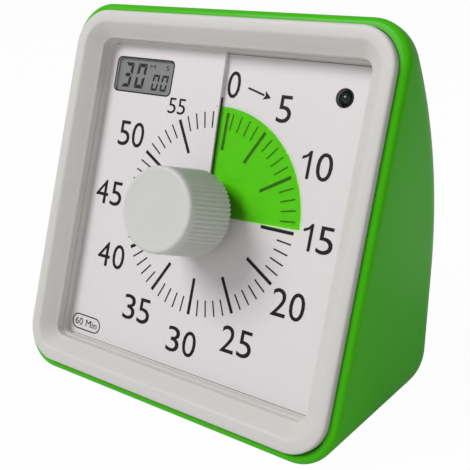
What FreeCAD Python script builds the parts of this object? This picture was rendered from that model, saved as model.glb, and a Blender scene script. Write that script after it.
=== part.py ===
import FreeCAD, Part
import math
import os
import re

import Sketcher
from FreeCAD import Placement, Rotation, Vector

# Sizes in millimetres and degrees. "Face" sizes are measured from the knob's axis on the dial:
# x to the right, y up the leaning face, z out of the face. "Row" sizes stand on the table.
SIZES = {
    "lean_angle": 17.1,
    "dial_height": 41.7,
    "dial_ahead": 7.2,
    # Case
    "case_width": 88.0,
    "case_top": 44.75,
    "case_back": 25.5,
    "case_wall": 1.9,
    "rim_front": 5.3,
    "rim_round": 1.5,
    "back_straight_top": 29.7,
    "back_radius": 88.6,
    "edge_round": 9.5,
    "cavity_round": 8.5,
    "heel_round": 10.5,
    # Bezel
    "bezel_half_x": 42.0,
    "bezel_top": 42.75,
    "bezel_bottom": 42.65,
    "bezel_front": 7.0,
    "bezel_under": 3.7,
    "bezel_corner": 8.6,
    "bezel_edge_round": 0.5,
    "skirt_half_x": 39.9,
    "skirt_top": 39.4,
    "skirt_bottom": 38.5,
    "skirt_corner": 5.0,
    "skirt_back": -3.2,
    "dish_depth": 3.2,
    "dish_width": 3.2,
    "window_half_x": 36.3,
    "window_half_y": 36.95,
    "window_corner": 1.6,
    "window_step": 0.35,
    "window_step_level": 1.7,
    "flange_top": -2.0,
    "flange_width": 2.5,
    "hook_offset": 26.6,
    "hook_length": 5.4,
    "hook_reach": 1.5,
    "hook_top": -1.4,
    "hook_gap": 0.3,
    # Dial plate and disc, which climb together round the knob's axis
    "dial_pitch": 1.2,
    "dial_gap": 0.2,
    "dial_thickness": 0.5,
    "dial_bore": 4.4,
    "seam_angle": -2.9,
    "seam_wall_from": 26.4,
    "seam_wall_width": 1.1,
    "plate_post_radius": 0.7,
    "plate_post_inset": 0.95,
    "disc_radius": 24.3,
    "disc_thickness": 0.2,
    "disc_clearance": 0.25,
    "rest_angle": 87.6,
    "lcd_left": 33.5,
    "lcd_right": 16.0,
    "lcd_low": 25.0,
    "lcd_high": 32.9,
    "lcd_margin": 1.4,
    "lcd_margin_edge": 0.9,
    "lcd_corner": 0.8,
    "lcd_ledge": 0.9,
    "holder_wall": 1.0,
    "strip_width": 1.6,
    "lcd_glass_top": -0.15,
    "lcd_glass_thickness": 1.4,
    "led_x": 28.9,
    "led_y": 29.2,
    "led_radius": 1.5,
    "led_hole_radius": 1.75,
    # Knob, spindle, hub and clutch
    "knob_base": 4.1,
    "knob_front": 17.7,
    "knob_base_radius": 9.7,
    "knob_front_radius": 9.2,
    "knob_edge_round": 0.8,
    "knob_wall": 1.8,
    "knob_boss_radius": 3.4,
    "knob_ribs": 60,
    "rib_depth": 0.35,
    "spindle_radius": 2.0,
    "running_gap": 0.05,
    "spindle_flat": 1.6,
    "hub_radius": 3.8,
    "hub_half_length": 1.7,
    "collar_radius": 3.2,
    "collar_thickness": 0.45,
    "clutch_thickness": 0.3,
    "clip_radius": 2.8,
    "clip_thickness": 0.4,
    # Chassis, board and movement box
    "chassis_thickness": 1.6,
    "chassis_half_x": 39.8,
    "chassis_top": 37.2,
    "chassis_bottom": 37.8,
    "chassis_corner": 5.0,
    "chassis_hole": 5.2,
    "plate_thickness": 1.2,
    "box_half_x": 20.5,
    "box_top": 14.5,
    "box_bottom": 25.0,
    "box_depth": 10.6,
    "pillar_radius": 1.9,
    "pillar_gap": 0.3,
    "board_thickness": 1.6,
    "board_half_x": 36.0,
    "board_low": 16.5,
    "board_high": 34.5,
    "board_boss_radius": 2.0,
    "board_screw_x": 33.5,
    "board_screw_inset": 2.0,
    "chassis_screw_x": 38.0,
    "chassis_screw_y": 32.5,
    "chip_left": 14.0,
    "chip_low": 20.0,
    "chip_length": 10.0,
    "chip_width": 6.0,
    "chip_height": 1.6,
    "pin_pitch": 1.25,
    "pin_width": 0.45,
    "pin_reach": 0.8,
    "buzzer_x": 20.0,
    "buzzer_y": 24.0,
    "buzzer_radius": 6.0,
    "buzzer_height": 3.0,
    "buzzer_mouth": 1.0,
    "screw_radius": 0.75,
    "screw_hole_radius": 0.8,
    "chassis_screw_tip": 0.8,
    "screw_clear_radius": 0.95,
    "screw_head_radius": 1.6,
    "screw_head_height": 1.1,
    # Gear train
    "gear_module": 0.35,
    "centre_teeth": 60,
    "wheel_teeth": 50,
    "pinion_teeth": 10,
    "backlash": 0.06,
    "wheel_thickness": 1.0,
    "pinion_overlap": 0.2,
    "level_step": 1.8,
    "first_level": 0.6,
    "arbor_radius": 0.8,
    "pivot_radius": 0.5,
    "magnet_radius": 2.9,
    "magnet_height": 2.0,
    "third_direction": -50.0,
    "middle_direction": 200.0,
    "rotor_direction": 160.0,
    "yoke_half_width": 6.0,
    "yoke_low": 5.1,
    "yoke_high": 15.4,
    "yoke_level": 1.6,
    "yoke_thickness": 1.2,
    "yoke_post_radius": 0.9,
    "coil_ahead": 11.4,
    "coil_radius": 2.0,
    "coil_half_length": 4.2,
    # Battery compartment in the back, in row sizes
    "bay_left": 31.5,
    "bay_right": 19.5,
    "bay_low": 12.2,
    "bay_high": 33.2,
    "bay_depth": 13.3,
    "bay_wall": 1.3,
    "bay_ledge": 2.1,
    "bay_ledge_end": 1.3,
    "door_thickness": 1.6,
    "door_gap": 0.15,
    "grip_length": 12.0,
    "grip_pitch": 1.5,
    "grip_width": 0.7,
    "grip_depth": 0.5,
    "cell_pitch": 10.5,
    "cell_to_door": 6.5,
    "contact_half": 4.2,
    "contact_thickness": 0.4,
    "nub_radius": 1.6,
    "nub_length": 0.7,
    "leaf_thickness": 0.4,
    "leaf_reach": 3.8,
    "leaf_half_height": 3.4,
    "leaf_half_width": 2.2,
    # Sound switch in the back, in row sizes
    "switch_left": 24.6,
    "switch_right": 33.6,
    "switch_middle": 20.0,
    "switch_depth": 5.0,
    "switch_travel": 2.4,
    "slider_left": 26.8,
    "slider_width": 2.4,
    "slider_half_height": 0.9,
    "slider_proud": 0.6,
}

doc = FreeCAD.newDocument("visual_timer")
sheet = doc.addObject("Spreadsheet::Sheet", "Sizes")
for row, (word, number) in enumerate(SIZES.items(), start=1):
    sheet.set(f"A{row}", str(number))
    sheet.setAlias(f"A{row}", word)
doc.recompute()

SINE = "sin(lean_angle * 1deg)"
COSINE = "cos(lean_angle * 1deg)"
SUB_PARTS = []


def size(word):
    """One size, read from the sheet."""
    return float(sheet.get(word))


def bound(text):
    """An expression in which each size's name points at its cell."""
    return re.sub(r"[a-z][a-z_]+", lambda m: f"Sizes.{m[0]}" if m[0] in SIZES else m[0], str(text))


def new(kind, name, **values):
    """A document object with some of its sizes bound to the sheet."""
    made = doc.addObject(kind, name)
    for prop, text in values.items():
        made.setExpression(prop, bound(text))
    return made


def keep(made, label, on_face=True):
    """Marks a finished sub-part, and lays it on the leaning face. Its own place must not be in use."""
    made.Label = label
    if on_face:
        made.Placement = Placement(Vector(), Rotation(Vector(1, 0, 0), 90 - size("lean_angle")))
        made.setExpression("Placement.Rotation.Angle", bound("90 - lean_angle"))
        made.setExpression("Placement.Base.y", bound("-dial_ahead"))
        made.setExpression("Placement.Base.z", bound("dial_height"))
    SUB_PARTS.append(made)
    return made


def place(made, x="0", y="0", z="0"):
    for axis, text in (("x", x), ("y", y), ("z", z)):
        made.setExpression(f"Placement.Base.{axis}", bound(text))
    return made


def box(name, x, y, z):
    """A box between pairs of expressions."""
    lengths = [f"({high}) - ({low})" for low, high in (x, y, z)]
    made = new("Part::Box", name, Length=lengths[0], Width=lengths[1], Height=lengths[2])
    return place(made, x[0], y[0], z[0])


def cylinder(name, radius, low, high, x="0", y="0"):
    made = new("Part::Cylinder", name, Radius=radius, Height=f"({high}) - ({low})")
    return place(made, x, y, low)


def fused(name, *shapes):
    made = doc.addObject("Part::MultiFuse", name)
    made.Shapes = list(shapes)
    made.Refine = True
    return made


def cut(name, base, *tools):
    made = doc.addObject("Part::Cut", name)
    made.Base = base
    made.Tool = tools[0] if len(tools) == 1 else fused(name + "_tools", *tools)
    return made


def together(name, *solids):
    """Several separate solids in one node."""
    made = doc.addObject("Part::Compound", name)
    made.Links = list(solids)
    return made


def block(body, x, y, z, take_away=False):
    """Adds a box to a body, or takes one away."""
    kind = "PartDesign::SubtractiveBox" if take_away else "PartDesign::AdditiveBox"
    made = body.newObject(kind, "Block")
    for prop, axis, (low, high) in (("Length", "x", x), ("Width", "y", y), ("Height", "z", z)):
        made.setExpression(prop, bound(f"({high}) - ({low})"))
        made.setExpression(f"Placement.Base.{axis}", bound(low))
    doc.recompute()
    return made


def dress(body, wanted, kind="Fillet", **sizes):
    """Rounds or chamfers the edges of a body that a test picks out."""
    tip = body.Tip
    names = [f"Edge{i}" for i, edge in enumerate(tip.Shape.Edges, start=1) if wanted(edge)]
    made = body.newObject(f"PartDesign::{kind}", kind)
    made.Base = (tip, names)
    if kind == "Chamfer":
        made.ChamferType = "Two distances"
    for prop, text in sizes.items():
        made.setExpression(prop, bound(text))
    doc.recompute()
    return made


def upright(edge):
    """True for a straight edge along Z."""
    first, last = edge.Vertexes[0].Point, edge.Vertexes[-1].Point
    return edge.Curve.TypeId == "Part::GeomLine" and abs(abs(first.z - last.z) - edge.Length) < 1e-6


def at_level(level):
    """A test for edges that lie whole at one height."""
    return lambda edge: all(abs(v.Point.z - level) < 1e-6 for v in edge.Vertexes) and (
        abs(edge.BoundBox.ZLength) < 1e-6)


def upright_at(x, y):
    """A test for upright edges at the corners of a rectangle."""
    return lambda edge: upright(edge) and any(
        abs(abs(edge.Vertexes[0].Point.x) - x) + abs(abs(edge.Vertexes[0].Point.y) - y_one) < 1e-4
        for y_one in (y if isinstance(y, tuple) else (y,)))


# Case: a profile seen from the side, pulled across the width and rounded along its edges


def case_form(name, inset, front):
    """A body in the case's outer form, drawn in by inset, and cut off at a level before the dial."""
    body = doc.addObject("PartDesign::Body", name)
    sketch = body.newObject("Sketcher::SketchObject", name + "Profile")
    plane = [f for f in body.Origin.OriginFeatures if f.Role == "YZ_Plane"][0]
    sketch.AttachmentSupport = (plane, [""])
    sketch.MapMode = "FlatFace"
    lean = math.radians(size("lean_angle"))
    sine, cosine = math.sin(lean), math.cos(lean)
    inset_now, front_now = 0, size("rim_front")
    if inset != "0":
        inset_now, front_now = size(inset), size("rim_front") + 6
    top_now = size("case_top") - inset_now
    low_now = -(size("dial_height") - inset_now + front_now * sine) / cosine
    foot = Vector(-size("dial_ahead") + low_now * sine - front_now * cosine, inset_now, 0)
    brow = Vector(-size("dial_ahead") + top_now * sine - front_now * cosine,
                  size("dial_height") + top_now * cosine + front_now * sine, 0)
    heel = Vector(size("case_back") - inset_now, inset_now, 0)
    calf = Vector(heel.x, size("back_straight_top"), 0)
    radius = size("back_radius") - inset_now
    centre = Vector(heel.x - radius, calf.y, 0)
    back_dir = Vector(cosine, -sine, 0)
    reach = (brow - centre).dot(back_dir)
    offset = (brow - centre - back_dir * reach).Length
    crown = brow + back_dir * (math.sqrt(radius ** 2 - offset ** 2) - reach)
    sweep = math.atan2(crown.y - centre.y, crown.x - centre.x)
    sketch.addGeometry([
        Part.LineSegment(foot, heel),
        Part.LineSegment(heel, calf),
        Part.ArcOfCircle(Part.Circle(centre, Vector(0, 0, 1), radius), 0, sweep),
        Part.LineSegment(crown, brow),
        Part.LineSegment(brow, foot),
    ], False)
    base, back, arc, top, face = range(5)
    start, end, middle = 1, 2, 3
    low_y = f"-(dial_height - ({inset}) + ({front}) * {SINE}) / {COSINE}"
    top_y = f"(case_top - ({inset}))"
    rules = [
        ("Coincident", base, end, back, start),
        ("Coincident", back, end, arc, start),
        ("Coincident", arc, end, top, start),
        ("Coincident", top, end, face, start),
        ("Coincident", face, end, base, start),
        ("Vertical", back),
        ("Perpendicular", top, face),
        ("Horizontal", arc, start, arc, middle),
    ]
    for rule in rules:
        sketch.addConstraint(Sketcher.Constraint(*rule))
    measures = [
        (("DistanceX", base, start), foot.x, f"-dial_ahead + {low_y} * {SINE} - ({front}) * {COSINE}"),
        (("DistanceY", base, start), foot.y, inset),
        (("DistanceX", base, end), heel.x, f"case_back - ({inset})"),
        (("DistanceY", base, end), heel.y, inset),
        (("DistanceY", back, end), calf.y, "back_straight_top"),
        (("Radius", arc), radius, f"back_radius - ({inset})"),
        (("DistanceX", face, start), brow.x, f"-dial_ahead + {top_y} * {SINE} - ({front}) * {COSINE}"),
        (("DistanceY", face, start), brow.y, f"dial_height + {top_y} * {COSINE} + ({front}) * {SINE}"),
    ]
    for rule, now, text in measures:
        index = sketch.addConstraint(Sketcher.Constraint(*rule, now))
        sketch.setExpression(f"Constraints[{index}]", bound(text))
    pad = body.newObject("PartDesign::Pad", name + "Pad")
    pad.Profile = sketch
    pad.SideType = "Symmetric"
    pad.setExpression("Length", bound(f"case_width - 2 * ({inset})"))
    doc.recompute()

    def crosswise(edge):
        points = [v.Point for v in edge.Vertexes]
        straight = len(points) == 2 and abs(abs(points[0].x - points[1].x) - edge.Length) < 1e-6
        return straight and points[0].y > 0.5 * crown.x and not abs(points[0].z - calf.y) < 1e-3

    dress(body, crosswise, Radius=f"heel_round - ({inset})")
    half = size("case_width") / 2 - inset_now
    normal = Vector(0, -cosine, sine)
    front_point = Vector(0, brow.x, brow.y)

    def along_flank(edge):
        on_flank = all(abs(abs(v.Point.x) - half) < 1e-6 for v in edge.Vertexes)
        in_front = all(abs((v.Point - front_point).dot(normal)) < 1e-4 for v in edge.Vertexes)
        return on_flank and not in_front

    dress(body, along_flank, Radius="edge_round" if inset == "0" else "cavity_round")
    if inset == "0":
        def along_rim(edge):
            return all(abs((v.Point - front_point).dot(normal)) < 1e-4 for v in edge.Vertexes)

        dress(body, along_rim, Radius="rim_round")
    return body


def make_rear_case():
    outer = case_form("CaseOutside", "0", "rim_front")
    cavity = case_form("CaseCavity", "case_wall", "rim_front + 6")
    shell = cut("CaseShell", outer, cavity)
    bay = box("BayBlock", ("-bay_left - bay_wall - bay_ledge", "bay_right + bay_wall + bay_ledge"),
              ("case_back - bay_depth - bay_wall", "case_back - 0.5"),
              ("bay_low - bay_wall - bay_ledge_end", "bay_high + bay_wall + bay_ledge_end"))
    hollow = box("BayHollow", ("-bay_left", "bay_right"), ("case_back - bay_depth", "case_back + 1"),
                 ("bay_low", "bay_high"))
    recess = box("DoorRecess", ("-bay_left - bay_ledge", "bay_right + bay_ledge"),
                 ("case_back - door_thickness", "case_back + 1"),
                 ("bay_low - bay_ledge_end", "bay_high + bay_ledge_end"))
    slot = box("SwitchSlot", ("slider_left - 0.3", "slider_left + slider_width + switch_travel + 0.3"),
               ("case_back - 4", "case_back + 1"),
               ("switch_middle - slider_half_height - 0.5", "switch_middle + slider_half_height + 0.5"))
    catches = []
    for side in (-1, 1):
        for level in (-1, 1):
            low_x, high_x = ("skirt_half_x + hook_gap", "case_width / 2 - case_wall + 0.4")
            x = (low_x, high_x) if side > 0 else (f"-({high_x})", f"-({low_x})")
            middle = f"{level} * hook_offset"
            catch = box("Catch", x, (f"{middle} - hook_length / 2", f"{middle} + hook_length / 2"),
                        ("hook_top", "hook_top + 1.5"))
            catches.append(catch)
    ring = together("Catches", *catches)
    ring.Placement = Placement(Vector(), Rotation(Vector(1, 0, 0), 90 - size("lean_angle")))
    ring.setExpression("Placement.Rotation.Angle", bound("90 - lean_angle"))
    place(ring, "0", "-dial_ahead", "dial_height")
    walls = fused("CaseWalls", shell, bay, ring)
    keep(cut("RearCase", walls, hollow, recess, slot), "rear_case", on_face=False)


def make_battery_door():
    panel = doc.addObject("PartDesign::Body", "BatteryDoor")
    side, end = "(bay_ledge - door_gap)", "(bay_ledge_end - door_gap)"
    block(panel, (f"-bay_left - {side}", f"bay_right + {side}"), ("case_back - door_thickness", "case_back"),
          (f"bay_low - {end}", f"bay_high + {end}"))
    back = size("case_back")
    dress(panel, lambda e: all(abs(v.Point.y - back) < 1e-6 for v in e.Vertexes), Radius="0.4")
    middle = "(bay_right - bay_left) / 2"
    for step in range(1, 5):
        low = f"bay_high - {step} * grip_pitch - grip_width"
        block(panel, (f"{middle} - grip_length / 2", f"{middle} + grip_length / 2"),
              ("case_back - grip_depth", "case_back + 1"), (low, f"{low} + grip_width"), take_away=True)
    keep(panel, "battery_door", on_face=False)


# Bezel: a dished white frame with a skirt, a flange for the dial and four snap hooks


def open_window(bezel, inset, low, high):
    """Cuts the dial's window through some of the bezel's depth, drawn in by inset, with round corners."""
    x, y = f"window_half_x - {inset}", f"window_half_y - {inset}"
    block(bezel, (f"-({x})", x), (f"-({y})", y), (low, high), take_away=True)
    now = 0 if inset == "0" else size(inset)
    corner = upright_at(size("window_half_x") - now, size("window_half_y") - now)
    dress(bezel, corner, Radius="window_corner")


def make_front_bezel():
    bezel = doc.addObject("PartDesign::Body", "FrontBezel")
    block(bezel, ("-bezel_half_x", "bezel_half_x"), ("-bezel_bottom", "bezel_top"),
          ("bezel_under", "bezel_front"))
    dress(bezel, upright, Radius="bezel_corner")
    dress(bezel, at_level(size("bezel_front")), Radius="bezel_edge_round")
    block(bezel, ("-skirt_half_x", "skirt_half_x"), ("-skirt_bottom", "skirt_top"),
          ("skirt_back", "bezel_under"))
    dress(bezel, upright_at(size("skirt_half_x"), (size("skirt_bottom"), size("skirt_top"))),
          Radius="skirt_corner")
    open_window(bezel, "flange_width", "skirt_back - 1", "bezel_front + 1")
    open_window(bezel, "window_step", "flange_top", "bezel_front + 1")
    open_window(bezel, "0", "window_step_level", "bezel_front + 1")
    front = at_level(size("bezel_front"))

    def round_the_window(edge):
        points = [v.Point for v in edge.Vertexes]
        inside_x = max(abs(p.x) for p in points) < size("window_half_x") + 1e-4
        return front(edge) and inside_x and max(abs(p.y) for p in points) < size("window_half_y") + 1e-4

    dress(bezel, round_the_window, kind="Chamfer", Size="dish_width", Size2="dish_depth")
    for side in (-1, 1):
        for level in (-1, 1):
            low_x, high_x = "skirt_half_x - 0.5", "skirt_half_x + hook_reach"
            x = (low_x, high_x) if side > 0 else (f"-({high_x})", f"-({low_x})")
            middle = f"{level} * hook_offset"
            block(bezel, x, (f"{middle} - hook_length / 2", f"{middle} + hook_length / 2"),
                  ("skirt_back", "hook_top"))
    bores = screw_bores("ChassisBore", chassis_screw_places(), "skirt_back - 1", "1.2")
    keep(cut("BezelDrilled", bezel, *bores), "front_bezel")


def chassis_screw_places():
    return [(x, y) for x in ("-chassis_screw_x", "chassis_screw_x")
            for y in ("-chassis_screw_y", "chassis_screw_y")]


def movement_screw_places():
    """The movement box's screws, one in each of its corners."""
    inset = "(pillar_radius + pillar_gap)"
    low, high = f"-box_bottom + {inset}", f"box_top - {inset}"
    return [(f"{side} * (box_half_x - {inset})", y) for side in (-1, 1) for y in (low, high)]


def board_screw_places():
    low, high = "board_low + board_screw_inset", "board_high - board_screw_inset"
    return [("-board_screw_x", low), ("board_screw_x", low), ("0", high)]


def screw_bores(name, places, low, high, radius="screw_hole_radius"):
    return [cylinder(name, radius, low, high, x, y) for x, y in places]


def make_screws(name, places, seat, tip):
    """A group of like screws whose heads sit against one level, with a cross slot in each."""
    screws = []
    for x, y in places:
        head = cylinder("Head", "screw_head_radius", f"{seat} - screw_head_height", seat, x, y)
        shank = cylinder("Shank", "screw_radius", f"{seat} - 0.2", tip, x, y)
        low = f"{seat} - screw_head_height - 1"
        high = f"{seat} - screw_head_height + 0.6"
        across = box("SlotAcross", (f"{x} - 1", f"{x} + 1"), (f"{y} - 0.2", f"{y} + 0.2"), (low, high))
        upward = box("SlotUpward", (f"{x} - 0.2", f"{x} + 0.2"), (f"{y} - 1", f"{y} + 1"), (low, high))
        screws.append(cut("Screw", fused("ScrewBlank", head, shank), across, upward))
    keep(together(name.title().replace("_", ""), *screws), name)


# Dial plate and disc: both climb by one pitch in a clockwise turn, so that the disc passes the slit


def helical_plate(inner, outer, first, last, low, high, pitch):
    """A plate between two radii and two clockwise angles, whose faces climb by a pitch each turn."""

    def curve(radius, level):
        steps = max(4, round((last - first) / 10))
        points = []
        for i in range(steps + 1):
            angle = first + (last - first) * i / steps
            turn = math.radians(angle)
            climb = pitch * angle / 360
            points.append(Vector(radius * math.sin(turn), radius * math.cos(turn), level + climb))
        spline = Part.BSplineCurve()
        spline.interpolate(points)
        return spline.toShape()

    corners = [curve(inner, low), curve(outer, low), curve(outer, high), curve(inner, high)]
    faces = [Part.makeRuledSurface(corners[i], corners[(i + 1) % 4]) for i in range(4)]
    for end in (0, 1):
        points = [c.valueAt(c.FirstParameter if end == 0 else c.LastParameter) for c in corners]
        faces.append(Part.Face(Part.makePolygon(points + points[:1])))
    shell = Part.makeShell(faces)
    shell.sewShape()
    solid = Part.makeSolid(shell)
    if solid.Volume < 0:
        solid.reverse()
    return solid


def plate_level():
    """Level of the dial's printed face at the twelve o'clock angle, half a pitch under its mean."""
    return -size("dial_pitch") / 2


def rounded_prism(half_x, half_y, corner, low, high):
    prism = Part.makeBox(2 * half_x, 2 * half_y, high - low, Vector(-half_x, -half_y, low))
    return prism.makeFillet(corner, [e for e in prism.Edges if upright(e)])


def make_dial_plate():
    first = size("seam_angle")
    thickness, pitch = size("dial_thickness"), size("dial_pitch")
    half_x = size("window_half_x") - size("window_step") - size("dial_gap")
    half_y = size("window_half_y") - size("window_step") - size("dial_gap")
    reach = math.hypot(half_x, half_y) + 1
    top = plate_level()
    plate = helical_plate(size("dial_bore"), reach, first, first + 360, top - thickness, top, pitch)
    outline = rounded_prism(half_x, half_y, size("window_corner"), -3, 3)
    plate = plate.common(outline)
    seam = math.radians(first)
    wall_far = half_y / math.cos(seam)
    wall = Part.makeBox(size("seam_wall_width"), wall_far - size("seam_wall_from"), pitch + thickness - 0.04,
                        Vector(-size("seam_wall_width") + 0.05, size("seam_wall_from"), top - thickness))
    wall.rotate(Vector(), Vector(0, 0, 1), -first)
    plate = plate.fuse(wall.common(outline))
    inset = size("plate_post_inset")
    for side in (-1, 1):
        for level in (-1, 1):
            at = Vector(side * (half_x - inset), level * (half_y - inset), size("flange_top"))
            angle = math.degrees(math.atan2(at.x, at.y)) % 360
            height = top + pitch * angle / 360 - thickness / 2 - at.z
            plate = plate.fuse(Part.makeCylinder(size("plate_post_radius"), height, at))
    opening = Part.makeBox(size("lcd_left") - size("lcd_right"), size("lcd_high") - size("lcd_low"), 6,
                           Vector(-size("lcd_left"), size("lcd_low"), -3))
    opening = opening.makeFillet(size("lcd_corner"), [e for e in opening.Edges if upright(e)])
    led = Part.makeCylinder(size("led_hole_radius"), 6, Vector(size("led_x"), size("led_y"), -3))
    dial = doc.addObject("Part::Feature", "DialPlate")
    dial.Shape = plate.cut(opening).cut(led).removeSplitter()
    keep(dial, "dial_plate")


def disc_low():
    """Level of the disc's underside at the twelve o'clock angle."""
    return plate_level() + size("disc_clearance")


def make_timer_disc():
    last = size("rest_angle")
    low = disc_low()
    disc = doc.addObject("Part::Feature", "TimerDisc")
    disc.Shape = helical_plate(size("hub_radius"), size("disc_radius"), last - 359.5, last, low,
                               low + size("disc_thickness"), size("dial_pitch"))
    keep(disc, "timer_disc")
    middle = f"-dial_pitch / 2 + disc_clearance + dial_pitch * (rest_angle - 180) / 360"
    low, high = f"{middle} - hub_half_length", f"{middle} + hub_half_length"
    tube = cylinder("HubTube", "hub_radius", low, high)
    bore = cylinder("HubBore", "spindle_radius + running_gap", f"{low} - 1", f"{high} + 1")
    side = box("HubFlat", ("-5", "spindle_flat + running_gap"), ("-5", "5"), (f"{low} - 1", f"{high} + 1"))
    bore_flat = doc.addObject("Part::MultiCommon", "HubKeyedBore")
    bore_flat.Shapes = [bore, side]
    keep(cut("DiscHub", tube, bore_flat), "disc_hub")


# Knob, spindle and friction clutch


def make_knob():
    knob = doc.addObject("PartDesign::Body", "KnobBody")
    cone = knob.newObject("PartDesign::AdditiveCone", "KnobCone")
    cone.setExpression("Radius1", bound("knob_base_radius"))
    cone.setExpression("Radius2", bound("knob_front_radius"))
    cone.setExpression("Height", bound("knob_front - knob_base"))
    cone.setExpression("Placement.Base.z", bound("knob_base"))
    doc.recompute()
    dress(knob, at_level(size("knob_front")), Radius="knob_edge_round")
    groove = knob.newObject("PartDesign::SubtractiveCylinder", "RibGroove")
    groove.setExpression("Radius", bound("rib_depth"))
    groove.setExpression("Height", bound("knob_front - knob_base - 1.6"))
    groove.setExpression("Placement.Base.x", bound("knob_base_radius + 0.05"))
    groove.setExpression("Placement.Base.z", bound("knob_base - 0.01"))
    doc.recompute()
    ribs = knob.newObject("PartDesign::PolarPattern", "Ribs")
    ribs.Originals = [groove]
    ribs.Axis = ([f for f in knob.Origin.OriginFeatures if f.Role == "Z_Axis"][0], [""])
    ribs.Angle = 360
    ribs.setExpression("Occurrences", bound("knob_ribs"))
    knob.Tip = ribs
    doc.recompute()
    hollow = cylinder("KnobHollow", "knob_base_radius - rib_depth - knob_wall", "knob_base - 1",
                      "knob_front - knob_wall")
    boss = cylinder("KnobBoss", "knob_boss_radius", "knob_base", "knob_front - knob_wall + 0.5")
    bore = cylinder("KnobBore", "spindle_radius", "knob_base - 1", "knob_front - knob_wall - 0.4")
    keep(cut("Knob", fused("KnobShell", cut("KnobCup", knob, hollow), boss), bore), "knob")


def make_spindle():
    wheel_high = "skirt_back - chassis_thickness - plate_thickness - first_level"
    wheel_low = f"{wheel_high} - wheel_thickness"
    floor = "skirt_back - chassis_thickness - plate_thickness - box_depth"
    shaft = cylinder("SpindleShaft", "spindle_radius", f"{floor} + 0.4", "knob_front - knob_wall - 0.4")
    collar = cylinder("SpindleCollar", "collar_radius", wheel_high, f"{wheel_high} + collar_thickness")
    flat = box("SpindleFlat", ("spindle_flat", "4"), ("-4", "4"), ("-3.6", "knob_base - 0.1"))
    keep(cut("Spindle", fused("SpindleBlank", shaft, collar), flat), "spindle")
    for label, radius, low, high in (
        ("clutch_spring", "collar_radius - 0.2", f"{wheel_low} - clutch_thickness", wheel_low),
        ("spindle_clip", "clip_radius", f"{wheel_low} - clutch_thickness - clip_thickness",
         f"{wheel_low} - clutch_thickness"),
    ):
        ring = cylinder("Ring", radius, low, high)
        hole = cylinder("RingHole", "spindle_radius", f"{low} - 1", f"{high} + 1")
        tools = [hole]
        if label == "spindle_clip":
            tools.append(box("ClipGap", ("0", "4"), ("-0.6", "0.6"), (f"{low} - 1", f"{high} + 1")))
        keep(cut("Washer", ring, *tools), label)


# Chassis, board and display


def make_chassis():
    chassis = doc.addObject("PartDesign::Body", "ChassisBody")
    back = "skirt_back - chassis_thickness"
    block(chassis, ("-chassis_half_x", "chassis_half_x"), ("-chassis_bottom", "chassis_top"),
          (back, "skirt_back"))
    dress(chassis, upright, Radius="chassis_corner")
    block(chassis, ("-lcd_left - 0.3", "-lcd_right + lcd_margin + holder_wall + 0.3"),
          ("lcd_low - lcd_margin - holder_wall - 0.3", "lcd_high + lcd_margin_edge + 0.6"),
          (f"{back} - 1", "0"), take_away=True)
    bosses = [cylinder("BoardBoss", "board_boss_radius", f"{back} - plate_thickness", f"{back} + 0.5", x, y)
              for x, y in board_screw_places()]
    tools = [cylinder("HubHole", "chassis_hole", f"{back} - 1", "0"),
             cylinder("LedHole", "led_radius + 0.6", f"{back} - 3", "0", "led_x", "led_y")]
    tools += screw_bores("ChassisScrewHole", chassis_screw_places(), f"{back} - 1", "0",
                         "screw_clear_radius")
    tools += screw_bores("MovementScrewHole", movement_screw_places(), f"{back} - 1", f"{back} + 1.3")
    tools += screw_bores("BoardScrewHole", board_screw_places(), f"{back} - 3", f"{back} + 1.2")
    keep(cut("ChassisPlate", fused("ChassisBlank", chassis, *bosses), *tools), "chassis_plate")


def make_board():
    front = "skirt_back - chassis_thickness - plate_thickness"
    board = box("BoardBlank", ("-board_half_x", "board_half_x"), ("board_low", "board_high"),
                (f"{front} - board_thickness", front))
    holes = screw_bores("BoardHole", board_screw_places(), f"{front} - 3", f"{front} + 1",
                        "screw_clear_radius")
    keep(cut("CircuitBoard", board, *holes), "circuit_board")
    back = f"{front} - board_thickness"
    chip = [box("ChipBlock", ("-chip_left", "-chip_left + chip_length"),
                ("chip_low", "chip_low + chip_width"), (f"{back} - chip_height", back))]
    for step in range(7):
        left = f"-chip_left + chip_length / 2 + {step - 3} * pin_pitch - pin_width / 2"
        across = ("chip_low - pin_reach", "chip_low + chip_width + pin_reach")
        chip.append(box("Pins", (left, f"{left} + pin_width"), across, (f"{back} - 0.3", back)))
    keep(fused("ControlChip", *chip), "control_chip")
    horn = cylinder("BuzzerCan", "buzzer_radius", f"{back} - buzzer_height", back, "buzzer_x", "buzzer_y")
    mouth = cylinder("BuzzerMouth", "buzzer_mouth", f"{back} - buzzer_height - 1",
                     f"{back} - buzzer_height / 2", "buzzer_x", "buzzer_y")
    keep(cut("Buzzer", horn, mouth), "buzzer")
    stem = cylinder("LedStem", "led_radius", front, "-1.8", "led_x", "led_y")
    dome = new("Part::Sphere", "LedDome", Radius="led_radius")
    place(dome, "led_x", "led_y", "-1.8")
    keep(fused("IndicatorLed", stem, dome), "indicator_led")


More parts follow.
